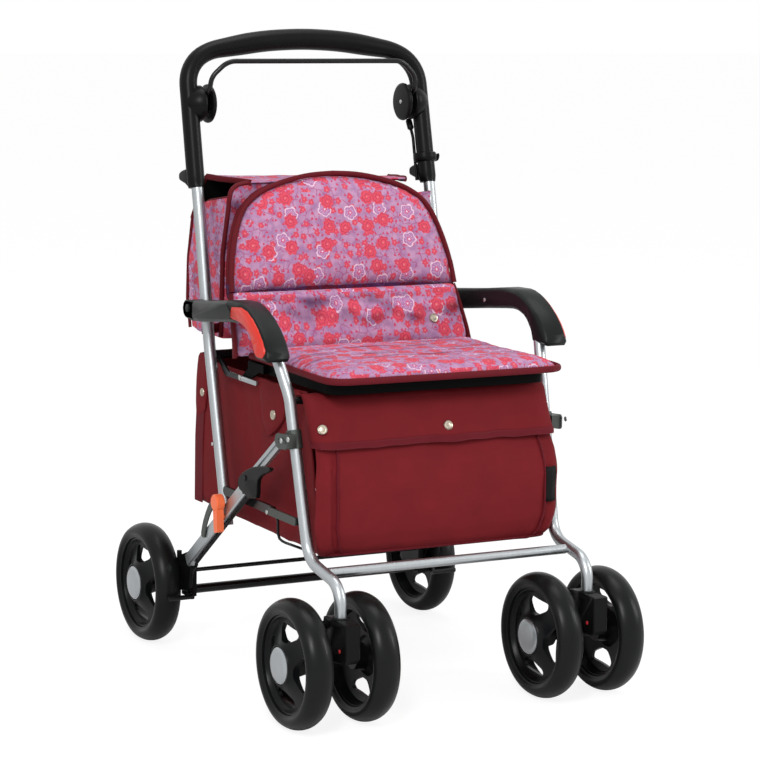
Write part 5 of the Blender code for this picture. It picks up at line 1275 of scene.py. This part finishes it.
def backrest_lower():
    """Lower back cushion between the seam and the seat, creased under the seam, bound at its sides."""
    low, high = BACK_LOW_Z + 0.0010, BACK_Z - 0.0008
    right = [(low_half_width(v), v) for v in spread(low, high, 10)]
    outline = right + [(u, high) for u in spread(0.17, -0.17, 14)[1:-1]]
    outline += [(-u, v) for u, v in reversed(right)]
    outline += [(u, low) for u in spread(-0.1790, 0.1790, 14)[1:-1]]

    def place(u, v, h):
        return Vector((u, low_front_y(v) + 0.0130 - h, v))

    layers = [(0.96, 0.0004), (0.992, 0.0010), (1.000, 0.0035), (1.000, 0.0095), (0.985, 0.0122),
              (0.86, 0.0136), (0.5, 0.0142)]
    made = stuffed("backrest_lower_cushion", slab(outline, place, layers), "print", 0.0035)

    def rule(point, normal):
        high_share = clamp((point.z - 0.455) / 0.045)
        front = max(0.0, -normal.y)
        slanted = (point.x + 0.9 * (point.z - 0.46), 0, point.z * 2.2)
        folds = wave_noise(slanted, 0.034, 5.0) * 0.0030 * high_share
        fine = wave_noise((point.x, 0, point.z * 1.5), 0.014, 2.0) * 0.0010 * (0.3 + high_share)
        uneven = 0.6 + 0.4 * wave_noise((point.x, 0, 0), 0.05)
        dip = -0.0030 * math.exp(-((point.z - 0.487) / 0.008) ** 2) * uneven
        return (folds + fine + dip) * front

    crumpled(made, rule)
    lay_cloth(made)
    for vertex in made.data.vertices:
        vertex.co.z += 0.0056 * clamp((vertex.co.z - 0.455) / 0.03)
    # Painted shade: purple bands in the folds under the seam.
    with_painted_shade(made, lambda p: max(0.0, wave_noise((p.x + 0.8 * p.z, 0, p.z * 2.2), 0.030, 5.0) + 0.12)
          * clamp((p.z - 0.452) / 0.02) * clamp((0.5020 - p.z) / 0.006))
    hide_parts("backrest_lower")
    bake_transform(made)
    for sign, side in SIDES:
        line = [Vector((sign * (low_half_width(v) - 0.0005), low_front_y(v) + 0.0062, v))
                for v in spread(BACK_LOW_Z + 0.002, BACK_Z - 0.001, 12)]
        shape = swept(line, 0.0060, 12, 0.42, up=ALONG)
        edge = lay_cloth(piece("backrest_side_binding_" + side, *shape, "binding", 60.0))
        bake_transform(edge)
    snap("backrest_snap", (0.1215, low_front_y(0.4630) - 0.0068, 0.4630), (0, -1, 0.45), "frame")


def pad_edge():
    """The seat pad's outline, from the rear right round the front to the rear left."""
    right = [(PAD_HALF_W, SEAT_BACK_Y), (PAD_HALF_W, 0.0), (0.1695, -0.0550), (0.1710, -0.1100),
             (0.1725, -0.1600), (0.1710, SEAT_FRONT_Y + 0.0220), (0.1650, SEAT_FRONT_Y + 0.0090),
             (0.1540, SEAT_FRONT_Y + 0.0020), (0.1380, SEAT_FRONT_Y), (0.0700, SEAT_FRONT_Y - 0.0012),
             (0.0, SEAT_FRONT_Y - 0.0015)]
    return both_halves(curve(right, 4))


def seat_pad():
    """Seat cushion: printed top, crowned, with a bound edge all round."""
    edge = pad_edge()
    outline = edge + [(u, SEAT_BACK_Y) for u in spread(-PAD_HALF_W, PAD_HALF_W, 10)[1:-1]]

    def place(u, v, h):
        return Vector((u + PAD_SHIFT, v, PAD_Z + h))

    layers = [(0.95, 0.0003), (0.978, 0.0008), (0.982, 0.0030), (0.975, 0.0062), (0.955, 0.0105),
              (0.90, 0.0145), (0.80, 0.0168), (0.55, 0.0180), (0.25, 0.0184)]
    made = stuffed("seat_cushion", slab(outline, place, layers), "print", 0.0020)

    def rule(point, normal):
        top = max(0.0, normal.z)
        inside = clamp((point.y - SEAT_FRONT_Y - 0.02) / 0.05)
        folds = wave_noise((point.x * 0.22, point.y, 0), 0.012, 4.0) * 0.0011
        slow = wave_noise((point.x, point.y, 0), 0.060, 6.0) * 0.0012
        return (folds + slow) * top * inside

    crumpled(made, rule)
    lay_cloth(made)
    # Painted shade: purple streaks across the seat where its creases lie.
    with_painted_shade(made, lambda p: 1.3 * max(0.0, wave_noise((p.x * 0.10, p.y, 0), 0.0085, 14.0) - 0.02)
          * clamp((p.y - SEAT_FRONT_Y - 0.04) / 0.05))
    carried(made, "seat", "seat_pad")
    line = [place(u * 0.992, v if v > SEAT_FRONT_Y + 0.01 else v + 0.0006, 0.0045) for u, v in edge]
    sewn("seat_edge_binding", swept(line, 0.0044, 12, 0.72), "binding", "seat")
    row = [p + Vector((0, 0, 0.0046)) - Vector((0.0010 * (1 if p.x > 0 else -1), 0, 0)) for p in line]
    stitched("seat_edge_stitches", [row], "seat", 0.0044, 0.0028, 0.0006)


def line_y(points, z):
    """y at height z on a line of (y, z) points."""
    points = sorted(points, key=lambda p: p[1])
    for (y0, z0), (y1, z1) in zip(points, points[1:]):
        if z <= z1 + 1e-9:
            return y0 + (y1 - y0) * max(0.0, z - z0) / (z1 - z0)
    return points[-1][0]


POUCH_FRONT = [(0.1160, POUCH_SIDE_Z), (0.1275, 0.5850), (0.1365, 0.5530), (0.1380, 0.5000), (0.1400, 0.4350)]
POUCH_REAR = [(0.2440, 0.4400), (0.2540, 0.4780), (0.2520, 0.5340), (0.2370, 0.6000), (0.2200, 0.6530)]


def back_rear_y(z):
    """The upper backrest's rear face: y at height z."""
    return BACK_FRONT_Y + (z - BACK_Z) * BACK_SLOPE + BACK_THICK


def pouch_ring(z, step):
    """One level of the pouch's outline, drawn in by step."""
    behind = back_rear_y(z) + 0.0008
    y_side = line_y(POUCH_FRONT, z) + step
    y_mid = max(y_side, behind + step)
    y_rear = line_y(POUCH_REAR, z) - step
    w = POUCH_HALF_W - step
    half = [(0.0, y_mid), (0.060, y_mid), (0.120, y_mid), (w - 0.012, (y_mid + y_side) / 2),
            (w - 0.004, y_side + 0.002), (w, y_side + 0.008), (w, (2 * y_side + y_rear) / 3),
            (w, (y_side + 2 * y_rear) / 3), (w, y_rear - 0.010), (w - 0.004, y_rear - 0.002),
            (w - 0.014, y_rear), (0.075, y_rear), (0.0, y_rear)]
    loop = curve(half, 3)
    return [Vector((x, y, z)) for x, y in loop] + [Vector((-x, y, z)) for x, y in reversed(loop[1:-1])]


def pouch_mouth(y):
    """The height of the pouch's side wall where it is open: it dips from the front corner to the rear."""
    return line_y([(0.6300, 0.1160), (0.6200, 0.1800), (0.6020, 0.2370)], y)


def lid_edge_z(x):
    """The rear wall's top edge, where the lid starts: its height at x."""
    return 0.6460 - 0.0220 * x


def rear_wall_point(x, t):
    """A point on the rear wall's upper part; t runs from the side walls' height up to the lid's edge."""
    z = REAR_WALL_FOOT_Z + (lid_edge_z(x) - REAR_WALL_FOOT_Z) * t
    wide = REAR_WALL_HALF_W - 0.0135 * t
    swell = wave_noise((x, 0, z), 0.03, 17.0) * 0.0010
    return Vector((x / REAR_WALL_HALF_W * wide, line_y(POUCH_REAR, z) + 0.0010 + swell, z))


def pouch():
    """The pouch behind the backrest: printed walls, black lining, dipped sides, a higher rear wall."""
    levels = [0.4345, 0.4400] + spread(0.4500, 0.6000, 10) + [0.6130, 0.6235, POUCH_SIDE_Z]
    outer = [pouch_ring(z, 0.0 if z > 0.437 else 0.006) for z in levels]
    inner = [pouch_ring(z, 0.0024) for z in reversed(levels[1:])]
    rings = outer + inner
    for ring in rings:
        for p in ring:
            level = p.z
            share = max(0.0, (level - DIP_Z) / (POUCH_SIDE_Z - DIP_Z))
            p.z += share * (pouch_mouth(p.y) - DIP_Z) - share * (POUCH_SIDE_Z - DIP_Z)
            if p.y > 0.2200:
                p.y += line_y(POUCH_REAR, p.z) - line_y(POUCH_REAR, level)
    verts, faces = loft(rings)
    made = piece("pouch_walls", verts, faces, ["print", "lining"], 60.0)
    count = len(rings[0])
    for cell in made.data.polygons:
        if min(cell.vertices) >= len(outer) * count - 1:
            cell.material_index = 1

    def rule(point, normal):
        side = abs(normal.x)
        belly = 0.0010 * side * math.sin(clamp((point.z - 0.44) / 0.19) * math.pi)
        drop = wave_noise((point.x * 0.4, point.y, point.z * 0.35), 0.022, 11.0) * 0.0016
        return belly + drop * (0.4 + 0.6 * side) if normal.y > -0.5 else 0.0

    crumpled(made, rule)
    lay_cloth(made)
    # Painted shade: purple patches over the pouch's folds.
    with_painted_shade(made, lambda p: 0.65 * max(0.0, wave_noise((p.x * 0.3, p.y, p.z * 0.3), 0.016, 12.0)))
    carried(made, "frame", "pouch")
    rows = [[rear_wall_point(x, t) for x in spread(-REAR_WALL_HALF_W, REAR_WALL_HALF_W, 40)]
            for t in spread(0, 1, 12)]
    wall = piece("pouch_rear_wall_top", *loft(rows, False, False), ["lining", "print"], 60.0, False)
    thickened(wall, CLOTH)
    carried(lay_cloth(wall), "frame")
    for sign, side in SIDES:
        line = [rear_wall_point(sign * REAR_WALL_HALF_W, t) for t in spread(0, 1, 10)]
        sewn("pouch_rear_edge_" + side, swept(line, 0.0026, 8, up=ALONG), "binding", "frame")
        mouth = [Vector((sign * (POUCH_HALF_W - 0.0008), y, pouch_mouth(y) + 0.0003))
                 for y in spread(0.1220, 0.2340, 14)]
        sewn("pouch_side_hem_" + side, swept(mouth, 0.0014, 8), "binding", "frame")
        line = [Vector((sign * (POUCH_HALF_W + 0.0004), line_y(POUCH_REAR, z) - 0.0030, z))
                for z in spread(0.438, 0.596, 16)]
        sewn("pouch_rear_piping_" + side, swept(line, 0.0024, 8, up=ALONG), "binding", "frame")
        z = 0.4500
        y = upright_y(z)
        line = [(sign * (POUCH_HALF_W - 0.0005), y + 0.0150), (sign * (POUCH_HALF_W + 0.0060), y + 0.0130)]
        line += [(sign * (UPRIGHT_X - (UPRIGHT_R + 0.0012) * math.cos(a)),
                  y + (UPRIGHT_R + 0.0012) * math.sin(a))
                 for a in (math.radians(d) for d in (50, 70, 90, 110, 130))]
        rows = [[Vector((x, yy, z - 0.0065)), Vector((x, yy, z + 0.0065))] for x, yy in line]
        strap = piece("pouch_tab_" + side + "_low", *loft(rows, False, False), "binding", 60.0, False)
        carried(lay_cloth(thickened(strap, 0.0014, smooth=False)), "frame")


LEFT_SHOULDER = [(0.1555, 0.6240), (0.1550, 0.6300), (0.1525, 0.6360), (0.1480, 0.6405), (0.1420, 0.6438),
                 (0.1350, 0.6455), (0.1260, 0.6465), (0.1170, 0.6470), (0.0, 0.6470)]
RIGHT_SHOULDER = [(0.1520, 0.5500), (0.1500, 0.5540), (0.1380, 0.5740), (0.1240, 0.5960), (0.1090, 0.6180),
                  (0.0950, 0.6410), (0.0700, 0.6460), (0.0, 0.6470)]


def front_wall_top(x):
    """The top edge of the pouch's front wall: a full left corner, a drawn in right one."""
    shoulder = LEFT_SHOULDER if x < 0 else RIGHT_SHOULDER
    return line_y([(z, -u) for u, z in shoulder], -abs(x))


def pouch_front_wall():
    """The front wall, seen as a lens of print beside the backrest's shoulder, and its bound edge."""
    def place(x, z):
        side = line_y(POUCH_FRONT, min(z, POUCH_SIDE_Z)) + max(0.0, z - POUCH_SIDE_Z) * 0.35
        behind = back_rear_y(z) + 0.0010
        share = clamp((POUCH_HALF_W - abs(x)) / 0.040)
        return Vector((x, side + (max(behind, side) - side) * share, z))

    rows = [[place(x, DIP_Z + (front_wall_top(x) - DIP_Z) * i / 24)
             + Vector((0, wave_noise((x, 0, i * 0.002), 0.022, 19.0) * 0.0012, 0))
             for x in spread(-POUCH_HALF_W, POUCH_HALF_W, 60)] for i in range(25)]
    wall = piece("pouch_front_wall_top", *loft(rows, False, False), "print", 60.0, False)
    thickened(wall, CLOTH)
    lay_cloth(wall)
    # Painted shade: the front wall beside the backrest is darkened all over, and more in patches.
    with_painted_shade(wall, lambda p: 0.9 * max(0.0, wave_noise((p.x * 0.5, 0, p.z), 0.011, 23.0)) + 0.25)
    carried(wall, "frame")
    for sign, side in SIDES:
        shoulder = LEFT_SHOULDER[:-1] if sign < 0 else RIGHT_SHOULDER[:-1]
        foot, top = 0.4380, shoulder[0][1] - 0.0060
        line = [place(sign * 0.1552, z) for z in spread(foot, top, 16)]
        line += [place(sign * x, z) for x, z in shoulder]
        sewn("pouch_front_binding_" + side, swept(through(line, 2), 0.0036, 12, 0.85, up=ALONG), "binding",
             "frame")


def pouch_lid():
    """The lid laid over the pouch from the rear wall's top to the backrest, its side edges bound."""
    rows = []
    for t in spread(0, 1, 24):
        wide = 0.1410 - 0.0230 * t
        row = []
        for x in spread(-wide, wide, 40):
            back = lid_edge_z(x)
            y = 0.2210 - (0.2210 - 0.1280) * t
            z = back + (0.6480 - back) * t - 0.0030 * math.sin(t * math.pi) * (1 - (x / wide) ** 2)
            row.append(Vector((x, y, z + wave_noise((x, y, 0), 0.030, 13.0) * 0.0012)))
        rows.append(row)
    made = piece("pouch_lid", *loft(rows, False, False), "print", 60.0, False)
    thickened(made, 0.0022)
    lay_cloth(made)
    carried(made, "frame")
    for sign, side, end in ((-1, "L", 0), (1, "R", -1)):
        band_line = [row[end] + Vector((sign * 0.0004, 0, -0.0008)) for row in rows]
        sewn("pouch_lid_binding_" + side, swept(band_line, 0.0042, 12, 0.55), "binding", "frame")


def bag_front_y(z):
    """The front panel's outer face: it bulges forward below the flap."""
    points = [(-0.1945, 0.2035), (-0.2010, 0.2120), (-0.2055, 0.2300), (-0.2075, 0.2550), (-0.2070, 0.2900),
              (-0.2010, 0.3200), (-0.1870, 0.3500), (-0.1710, 0.3850)]
    return line_y(points, z)


def bag_half_width(z):
    """Half the front panel's width at height z."""
    points = [(0.1640, 0.2035), (0.1720, 0.2150), (0.1775, 0.2400), (0.1775, 0.3000), (0.1720, 0.3400),
              (0.1680, 0.3850)]
    return line_y(points, z)


def front_section(z, tail, steps):
    """Half the front panel's section at height z, from the middle round the corner, smoothed."""
    y, w = bag_front_y(z), bag_half_width(z)
    half = [(0.0, y - 0.0012), (0.0600, y - 0.0010), (0.1200, y - 0.0003), (w - 0.0160, y + 0.0015),
            (w - 0.0050, y + 0.0050), (w - 0.0004, y + 0.0115), *tail(y, w)]
    line = curve(half, steps)
    return [Vector((-a, b, z)) for a, b in reversed(line[1:])] + [Vector((a, b, z)) for a, b in line]


def bag_front():
    """The bag's front panel, wrapped round its corners, creased beside the corner seams."""
    levels = spread(0.2036, 0.3850, 44)
    rings = [front_section(z, lambda y, w: [(max(w - 0.0040, 0.1630), y + 0.0175),
                                            (0.1625, max(y + 0.0300, -0.1790))], 7) for z in levels]
    made = piece("bag_front_panel", *loft(rings, False, False), "canvas", 60.0, False)
    turned_out(made, 1)

    def rule(point, normal):
        corner = math.exp(-((abs(point.x) - 0.160) / 0.020) ** 2)
        low = max(0.0, 1 - (point.z - 0.2035) / 0.045)
        side = bag_half_width(point.z) - 0.0250
        crease = -0.0022 * math.exp(-((abs(point.x) - side - 0.0050) / 0.0032) ** 2)
        crease *= clamp((0.345 - point.z) / 0.03)
        tall = wave_noise((point.x, 0, point.z * 0.28), 0.012, 1.0) * 0.0022 * corner
        broad = wave_noise((point.x, 0, point.z * 0.9), 0.085, 2.0) * 0.0022
        foot = wave_noise((point.x, 0, point.z * 0.5), 0.020, 3.0) * 0.0014 * low
        return crease + tall + broad * (0.4 + 0.6 * min(1.0, (point.z - 0.2035) / 0.03)) + foot

    crumpled(made, rule)
    thickened(made, CLOTH, offset=-1.0, sharp=50)
    lay_cloth(made)
    carried(made, "front_frame", "bag_front")
    for sign, side in SIDES:
        line = [Vector((sign * (bag_half_width(z) - 0.0255),
                        bag_front_y(z) - 0.0006 + wave_noise((0, 0, z), 0.03, 2.0) * 0.0008, z))
                for z in levels[1:40]]
        sewn("bag_corner_seam_" + side, swept(line, 0.0017, 8, up=ALONG), "binding", "front_frame")
    line = front_section(0.2040, lambda y, w: [(0.1625, y + 0.0175)], 5)
    sewn("bag_foot_piping", swept(line, 0.0019, 8), "binding", "front_frame")


FLAP = [(-0.1340, 0.4020), (-0.1450, 0.4037), (-0.1540, 0.4048), (-0.1620, 0.4045), (-0.1695, 0.4005),
        (-0.1745, 0.3920), (-0.1865, 0.3680), (-0.1960, 0.3480), (-0.1985, 0.3405)]


def flap_point(x, t):
    """A point on the flap's middle surface; t runs down it, and past FLAP_CORNER_X it wraps back."""
    point = share_along(through([(y, z, 0) for y, z in FLAP], 6), t)
    y, z = point.x, point.y
    reach = abs(x)
    back, side = 0.0, reach
    if reach > FLAP_CORNER_X:
        corner = through([(FLAP_CORNER_X, 0.0, 0), (0.1620, 0.0020, 0), (0.1710, 0.0085, 0),
                          (0.1735, 0.0190, 0), (0.1700, 0.0310, 0), (0.1630, 0.0430, 0)], 8)
        turn = share_along(corner, min(1.0, (reach - FLAP_CORNER_X) / 0.0560))
        back, side = turn.y, turn.x
        z -= 0.0035 * min(1.0, (reach - FLAP_CORNER_X) / 0.03) * (1 - t)
    return Vector((math.copysign(side, x), y + back, z))


def bag_flap():
    """The flap over the bag's mouth, with a bound hem and two snaps."""
    rows = []
    for t in spread(0, 1, 36):
        row = []
        for x in spread(-0.2060, 0.2060, 90):
            p = flap_point(x, t)
            ends = clamp((abs(x) - FLAP_CORNER_X) / 0.02)
            swell = wave_noise((x, 0, t * 0.08), 0.045, 7.0) * 0.0018 * min(1.0, t * 2)
            p.y -= 0.0008 * math.sin(x * 48.0) * t + swell
            p.y += wave_noise((x, 0, t * 0.05), 0.014, 27.0) * 0.0022 * ends
            p.x += wave_noise((x, 0, t * 0.09), 0.016, 28.0) * 0.0016 * ends
            p.z += wave_noise((x, 0, 0), 0.030, 9.0) * 0.0020 * t
            row.append(p)
        rows.append(row)
    made = piece("bag_front_flap", *loft(rows, False, False), "canvas", 60.0, False)
    thickened(made, 0.0022, sharp=50)
    lay_cloth(made)
    carried(made, "front_frame", "bag_flap")
    hem_rows = []
    for i in (31.5, 32.5, 34, 35.4, 36.2):
        row = []
        for k in range(91):
            a = rows[min(36, int(i))][k]
            b = rows[min(36, int(i) + 1)][k]
            p = a.lerp(b, i - int(i)) if int(i) < 36 else a + (rows[36][k] - rows[35][k]) * 0.2
            row.append(p + Vector((0, -0.0003, 0)))
        hem_rows.append(row)
    hem = piece("bag_flap_hem", *loft(hem_rows, False, False), "binding", 60.0, False)
    thickened(hem, 0.0036, sharp=50)
    carried(lay_cloth(hem), "front_frame")
    thread = [[p + Vector((0, -0.0020, -0.0006)) for p in row] for row in (hem_rows[0], hem_rows[3])]
    stitched("bag_flap_stitches", thread, "front_frame", 0.0040, 0.0026, 0.0005)
    snap("bag_flap_snap_L", (-0.1655, -0.1885, 0.3650), (-0.35, -1, 0.40), "front_frame")
    snap("bag_flap_snap_R", (0.0135, -0.1918, 0.3596), (0, -1, 0.40), "front_frame")


def bag_gusset():
    """Sides and floor of the bag as one bent sheet with creases."""
    w, z0, z1 = BAG_HALF_W - 0.0005, BAG_BOTTOM_Z + 0.0008, 0.4020
    section = [(-w, z) for z in spread(z1, z0 + 0.014, 24)]
    section += [(-w + 0.0014, z0 + 0.0060), (-w + 0.0050, z0 + 0.0020), (-w + 0.0130, z0)]
    section += [(x, z0) for x in spread(-w + 0.0130, w - 0.0130, 26)[1:-1]]
    section += [(-x, z) for x, z in reversed(section[:28])]
    rings = []
    for t in spread(0, 1, 30):
        ring = []
        for x, z in section:
            mouth = -0.1775 + 0.0480 * (z - z0) / (z1 - z0)
            ring.append(Vector((x, mouth + (BAG_REAR_Y - 0.0025 - rear_lean(z) - mouth) * t, z)))
        rings.append(ring)
    made = piece("bag_sides_and_floor", *loft(rings, False, False), "canvas", 60.0, False)
    turned_out(made, 0)

    def rule(point, normal):
        tall = wave_noise((0, point.y - point.z * 0.25, point.z * 0.16), 0.030, 21.0) * 0.0026
        fine = wave_noise((0, point.y, point.z * 0.4), 0.013, 22.0) * 0.0007
        fold = -0.0030 * math.exp(-((point.y + 0.105 + 0.12 * (point.z - 0.3)) / 0.007) ** 2)
        floor = wave_noise((point.x, point.y, 0), 0.06, 23.0) * 0.0016
        return (tall + fine + fold) * abs(normal.x) + floor * abs(normal.z)

    crumpled(made, rule)
    thickened(made, CLOTH, offset=-1.0, sharp=50)
    lay_cloth(made)
    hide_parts("bag_gusset")
    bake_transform(made)
    for sign, side in SIDES:
        line = [Vector((sign * (w + 0.0003), BAG_REAR_Y - 0.0004 - rear_lean(z), z))
                for z in spread(z0 + 0.006, 0.398, 24)]
        sewn("bag_rear_piping_" + side, swept(line, 0.0026, 8, up=ALONG), "binding", "frame")


def rear_lean(z):
    """How far the bag's rear corners lean forward at height z."""
    return 0.0085 * max(0.0, (z - 0.2900) / 0.1000)


def bag_rear():
    """The bag's rear panel with its own flap."""
    y = BAG_REAR_Y
    outer = [(y + 0.0010, 0.2010), (y + 0.0055, 0.2070), (y + 0.0075, 0.2300), (y + 0.0082, 0.2600),
             (y + 0.0082, 0.3000), (y + 0.0080, 0.3310), (y + 0.0118, 0.3330), (y + 0.0142, 0.3600),
             (y + 0.0130, 0.3850), (y + 0.0112, 0.4080)]
    inner = [(y + 0.0020, 0.4080), (y + 0.0042, 0.3600), (y + 0.0042, 0.2600), (y + 0.0022, 0.2120),
             (y - 0.0010, 0.2040)]
    loop = curve(outer, 5) + inner
    rings = []
    for x in spread(-BAG_HALF_W + 0.0012, BAG_HALF_W - 0.0012, 48):
        ends = abs(x / BAG_HALF_W) ** 7
        full = 1.0 - 0.86 * ends

        def pushed(a, b):
            swell = wave_noise((x, 0, b * 0.4), 0.040, 31.0) * 0.0010 * full
            return Vector((x, y + (a - y) * full - rear_lean(b) * ends + swell, b))

        rings.append([pushed(a, b) for a, b in loop])
    sewn("bag_rear_panel", loft(rings), "canvas", "frame", "bag_rear", sharp=50.0)
    for sign, side in SIDES:
        snap("bag_rear_snap_" + side, (sign * 0.110, y + 0.0132, 0.3500), (0, 1, 0), "frame")
        wing = [(0.2085, 0.4040), (0.1800, 0.4040), (0.1760, 0.3900), (0.1770, 0.3500), (0.1800, 0.3330),
                (0.1900, 0.3270), (0.2085, 0.3260)]
        line = curve(wing, 5, True)
        cy, cz = centre_of(line)
        rings = []
        for k, out in ((0.97, 0.0004), (1.0, 0.0012), (1.0, 0.0024), (0.93, 0.0032), (0.5, 0.0036)):
            waved = [BAG_HALF_W + out + wave_noise((0, a, b), 0.016, 41.0) * 0.0010 for a, b in line]
            rings.append([Vector((sign * x, cy + (a - cy) * k - rear_lean(b), cz + (b - cz) * k))
                          for x, (a, b) in zip(waved, line)])
        sewn("bag_rear_flap_wing_" + side, loft(rings), "canvas", "frame", sharp=50.0)
        snap("bag_wing_snap_" + side, (sign * (BAG_HALF_W + 0.0034), 0.1815, 0.3560), (sign, 0, 0), "frame",
             0.0058)
        # A band of darker binding down each rear corner of the side; its darker colour paints the shade on
        # the rear panel's side.
        band = [(0.2090, 0.0006), (0.2080, 0.0022), (0.1960, 0.0022), (0.1845, 0.0016), (0.1840, 0.0006)]
        band_rows = [[Vector((sign * (BAG_HALF_W + out), a - rear_lean(z), z)) for a, out in band]
                     for z in spread(0.2010, 0.3900, 20)]
        sewn("bag_rear_corner_shaded_band_" + side, loft(band_rows), "binding", "frame", sharp=50.0)


def side_tabs():
    """The tab with its snap on each side of the bag, hung from the mouth."""
    outline = [(0.0010, 0.4010), (-0.0400, 0.4030), (-0.0790, 0.4030), (-0.0785, 0.3800), (-0.0740, 0.3620),
               (-0.0600, 0.3480), (-0.0400, 0.3350), (-0.0290, 0.3305), (-0.0160, 0.3370), (-0.0055, 0.3500),
               (-0.0030, 0.3700)]
    for sign, side in SIDES:
        x = sign * (BAG_HALF_W + 0.0030)
        line = curve(outline, 5, True)
        cy, cz = centre_of(line)
        rings = []
        for scale, out in ((0.96, -0.0030), (1.0, -0.0006), (1.0, 0.0008), (0.965, 0.0022), (0.90, 0.0016),
                           (0.86, 0.0024), (0.55, 0.0030), (0.2, 0.0032)):
            rings.append([Vector((x + sign * out, cy + (a - cy) * scale, cz + (b - cz) * scale))
                          for a, b in line])
        sewn("bag_side_tab_" + side, loft(rings), "canvas", "frame", sharp=50.0)
        snap("bag_tab_snap_" + side, (x + sign * 0.0032, -0.0468, 0.3610), (sign, 0, 0), "frame", 0.0066)


def bag_tag():
    """A small bare black woven tag sewn into the right corner seam."""
    rows = []
    for k, z in enumerate(spread(0.2520, 0.2980, 8)):
        y, w = bag_front_y(z), bag_half_width(z)
        rows.append([Vector((w - 0.0250, y - 0.0020, z)), Vector((w - 0.0180, y - 0.0034, z)),
                     Vector((w - 0.0110, y - 0.0026 + 0.0012 * math.sin(k * 0.7), z + 0.0012))])
    made = piece("bag_black_tag", *loft(rows, False, False), "tag", 60.0, False)
    thickened(made, 0.0012, smooth=False)
    carried(lay_cloth(made), "front_frame")


def small_hardware():
    """Rivets, pins and dots that are too small for the frame's nodes."""
    for sign, side in SIDES:
        x = sign * 0.2042
        both = [((x, -0.1506, 0.3472), (sign, 0, 0)), ((x, -0.1700, 0.3520), (sign, 0, 0))]
        heads("link_rivets_" + side, both, "front_frame", 0.0036, 0.0014)
        heads("stay_rivets_" + side, [((sign * 0.1876, -0.0770, 0.2400), (sign, 0, 0))], "stay_" + side,
              0.0032, 0.0012)
        heads("inner_screw_" + side, [((sign * 0.1866, 0.0200, 0.4880), (-sign, 0, 0))], "front_frame",
              0.0030, 0.0010)
        y, z = -0.2930, 0.1070
        heads("caster_dots_" + side, [((sign * 0.1795 + d * 0.0107, y, z), (d, 0, 0)) for d in (-1, 1)],
              "caster_" + side, 0.0026, 0.0008, "dot")
        heads("brake_screw_" + side, [((sign * 0.1470, *BRAKE_PIVOT), (-sign, 0, 0))], "handle", 0.0030,
              0.0010)
        heads("upright_rivets_" + side, [((sign * 0.1866, 0.0955, 0.3000), (sign, 0, 0))], "frame", 0.0026,
              0.0010)
        heads("hinge_rivet_" + side, [((sign * 0.1706, 0.0460, 0.3970), (sign, 0, 0))], "frame", 0.0036,
              0.0014)


# Camera, floor and light

def camera():
    """The photograph's view."""
    data = bpy.data.cameras.new("camera")
    data.sensor_width = 36.0
    data.lens = 127.78
    data.clip_end = 50.0
    made = placed("camera", data)
    right, up, ahead = ((0.882714, -0.469526, 0.018982), (0.056812, 0.146732, 0.987544),
                        (0.466463, 0.870640, -0.156197))
    turn = Matrix([[right[i], up[i], -ahead[i]] for i in range(3)])
    made.matrix_world = Matrix.Translation((-1.673165, -3.152593, 0.955215)) @ turn.to_4x4()
    scene.camera = made


def lamp(name, place, target, size, power):
    """A soft rectangular lamp that looks at the target."""
    data = bpy.data.lights.new(name, "AREA")
    data.shape = "RECTANGLE"
    data.size, data.size_y = size
    data.energy = power
    made = placed(name, data)
    made.location = place
    made.rotation_euler = (Vector(target) - Vector(place)).to_track_quat("-Z", "Y").to_euler()


def studio():
    """White surroundings for the camera and for gloss, plainer light on the object, a pale floor."""
    world = bpy.data.worlds.new("studio")
    scene.world = world
    world.use_nodes = True
    tree = world.node_tree
    tree.nodes.clear()
    ray = add(tree, "ShaderNodeLightPath")
    first = add(tree, "ShaderNodeMath", {0: ray.outputs["Is Camera Ray"],
                                         1: ray.outputs["Is Transmission Ray"]}, operation="MAXIMUM")
    seen = add(tree, "ShaderNodeMath", {0: first.outputs[0], 1: ray.outputs["Is Glossy Ray"]},
               operation="MAXIMUM")
    level = add(tree, "ShaderNodeMapRange", {"Value": seen.outputs[0], 3: 0.50, 4: 1.0})
    back = add(tree, "ShaderNodeBackground", {"Color": (1, 1, 1, 1), "Strength": level.outputs[0]})
    add(tree, "ShaderNodeOutputWorld", {"Surface": back.outputs[0]})
    lamp("key", (-1.7, -2.3, 2.3), (0, 0, 0.4), (0.40, 1.2), 50.0)
    lamp("fill", (2.6, -1.6, 1.6), (0, 0, 0.4), (0.45, 1.3), 26.0)
    lamp("top", (0.2, 0.1, 3.0), (0, 0, 0.4), (1.4, 1.4), 20.0)
    bpy.ops.mesh.primitive_plane_add(size=40.0, location=(0, 0, -0.0005))
    floor = bpy.context.object
    floor.name = "floor"
    made, tree, shader = start("pale_floor", "#FFFFFF", 0.0, 0.9, Specular_IOR_Level=0.0)
    ray = add(tree, "ShaderNodeLightPath")
    shine = add(tree, "ShaderNodeEmission", {"Color": (1, 1, 1, 1), "Strength": 1.14})
    first = add(tree, "ShaderNodeMath", {0: ray.outputs["Is Camera Ray"], 1: 0.76}, operation="MULTIPLY")
    mix = add(tree, "ShaderNodeMixShader", {0: first.outputs[0], 1: shader.outputs[0], 2: shine.outputs[0]})
    tree.links.new(mix.outputs[0], tree.nodes["Material Output"].inputs["Surface"])
    floor.data.materials.append(made)
    scene.view_settings.view_transform = "Standard"


camera()
studio()
wheels()
rigid_frame()
backrest_upper()
backrest_lower()
seat_pad()
pouch()
pouch_front_wall()
pouch_lid()
bag_front()
bag_flap()
bag_gusset()
bag_rear()
side_tabs()
bag_tag()
small_hardware()
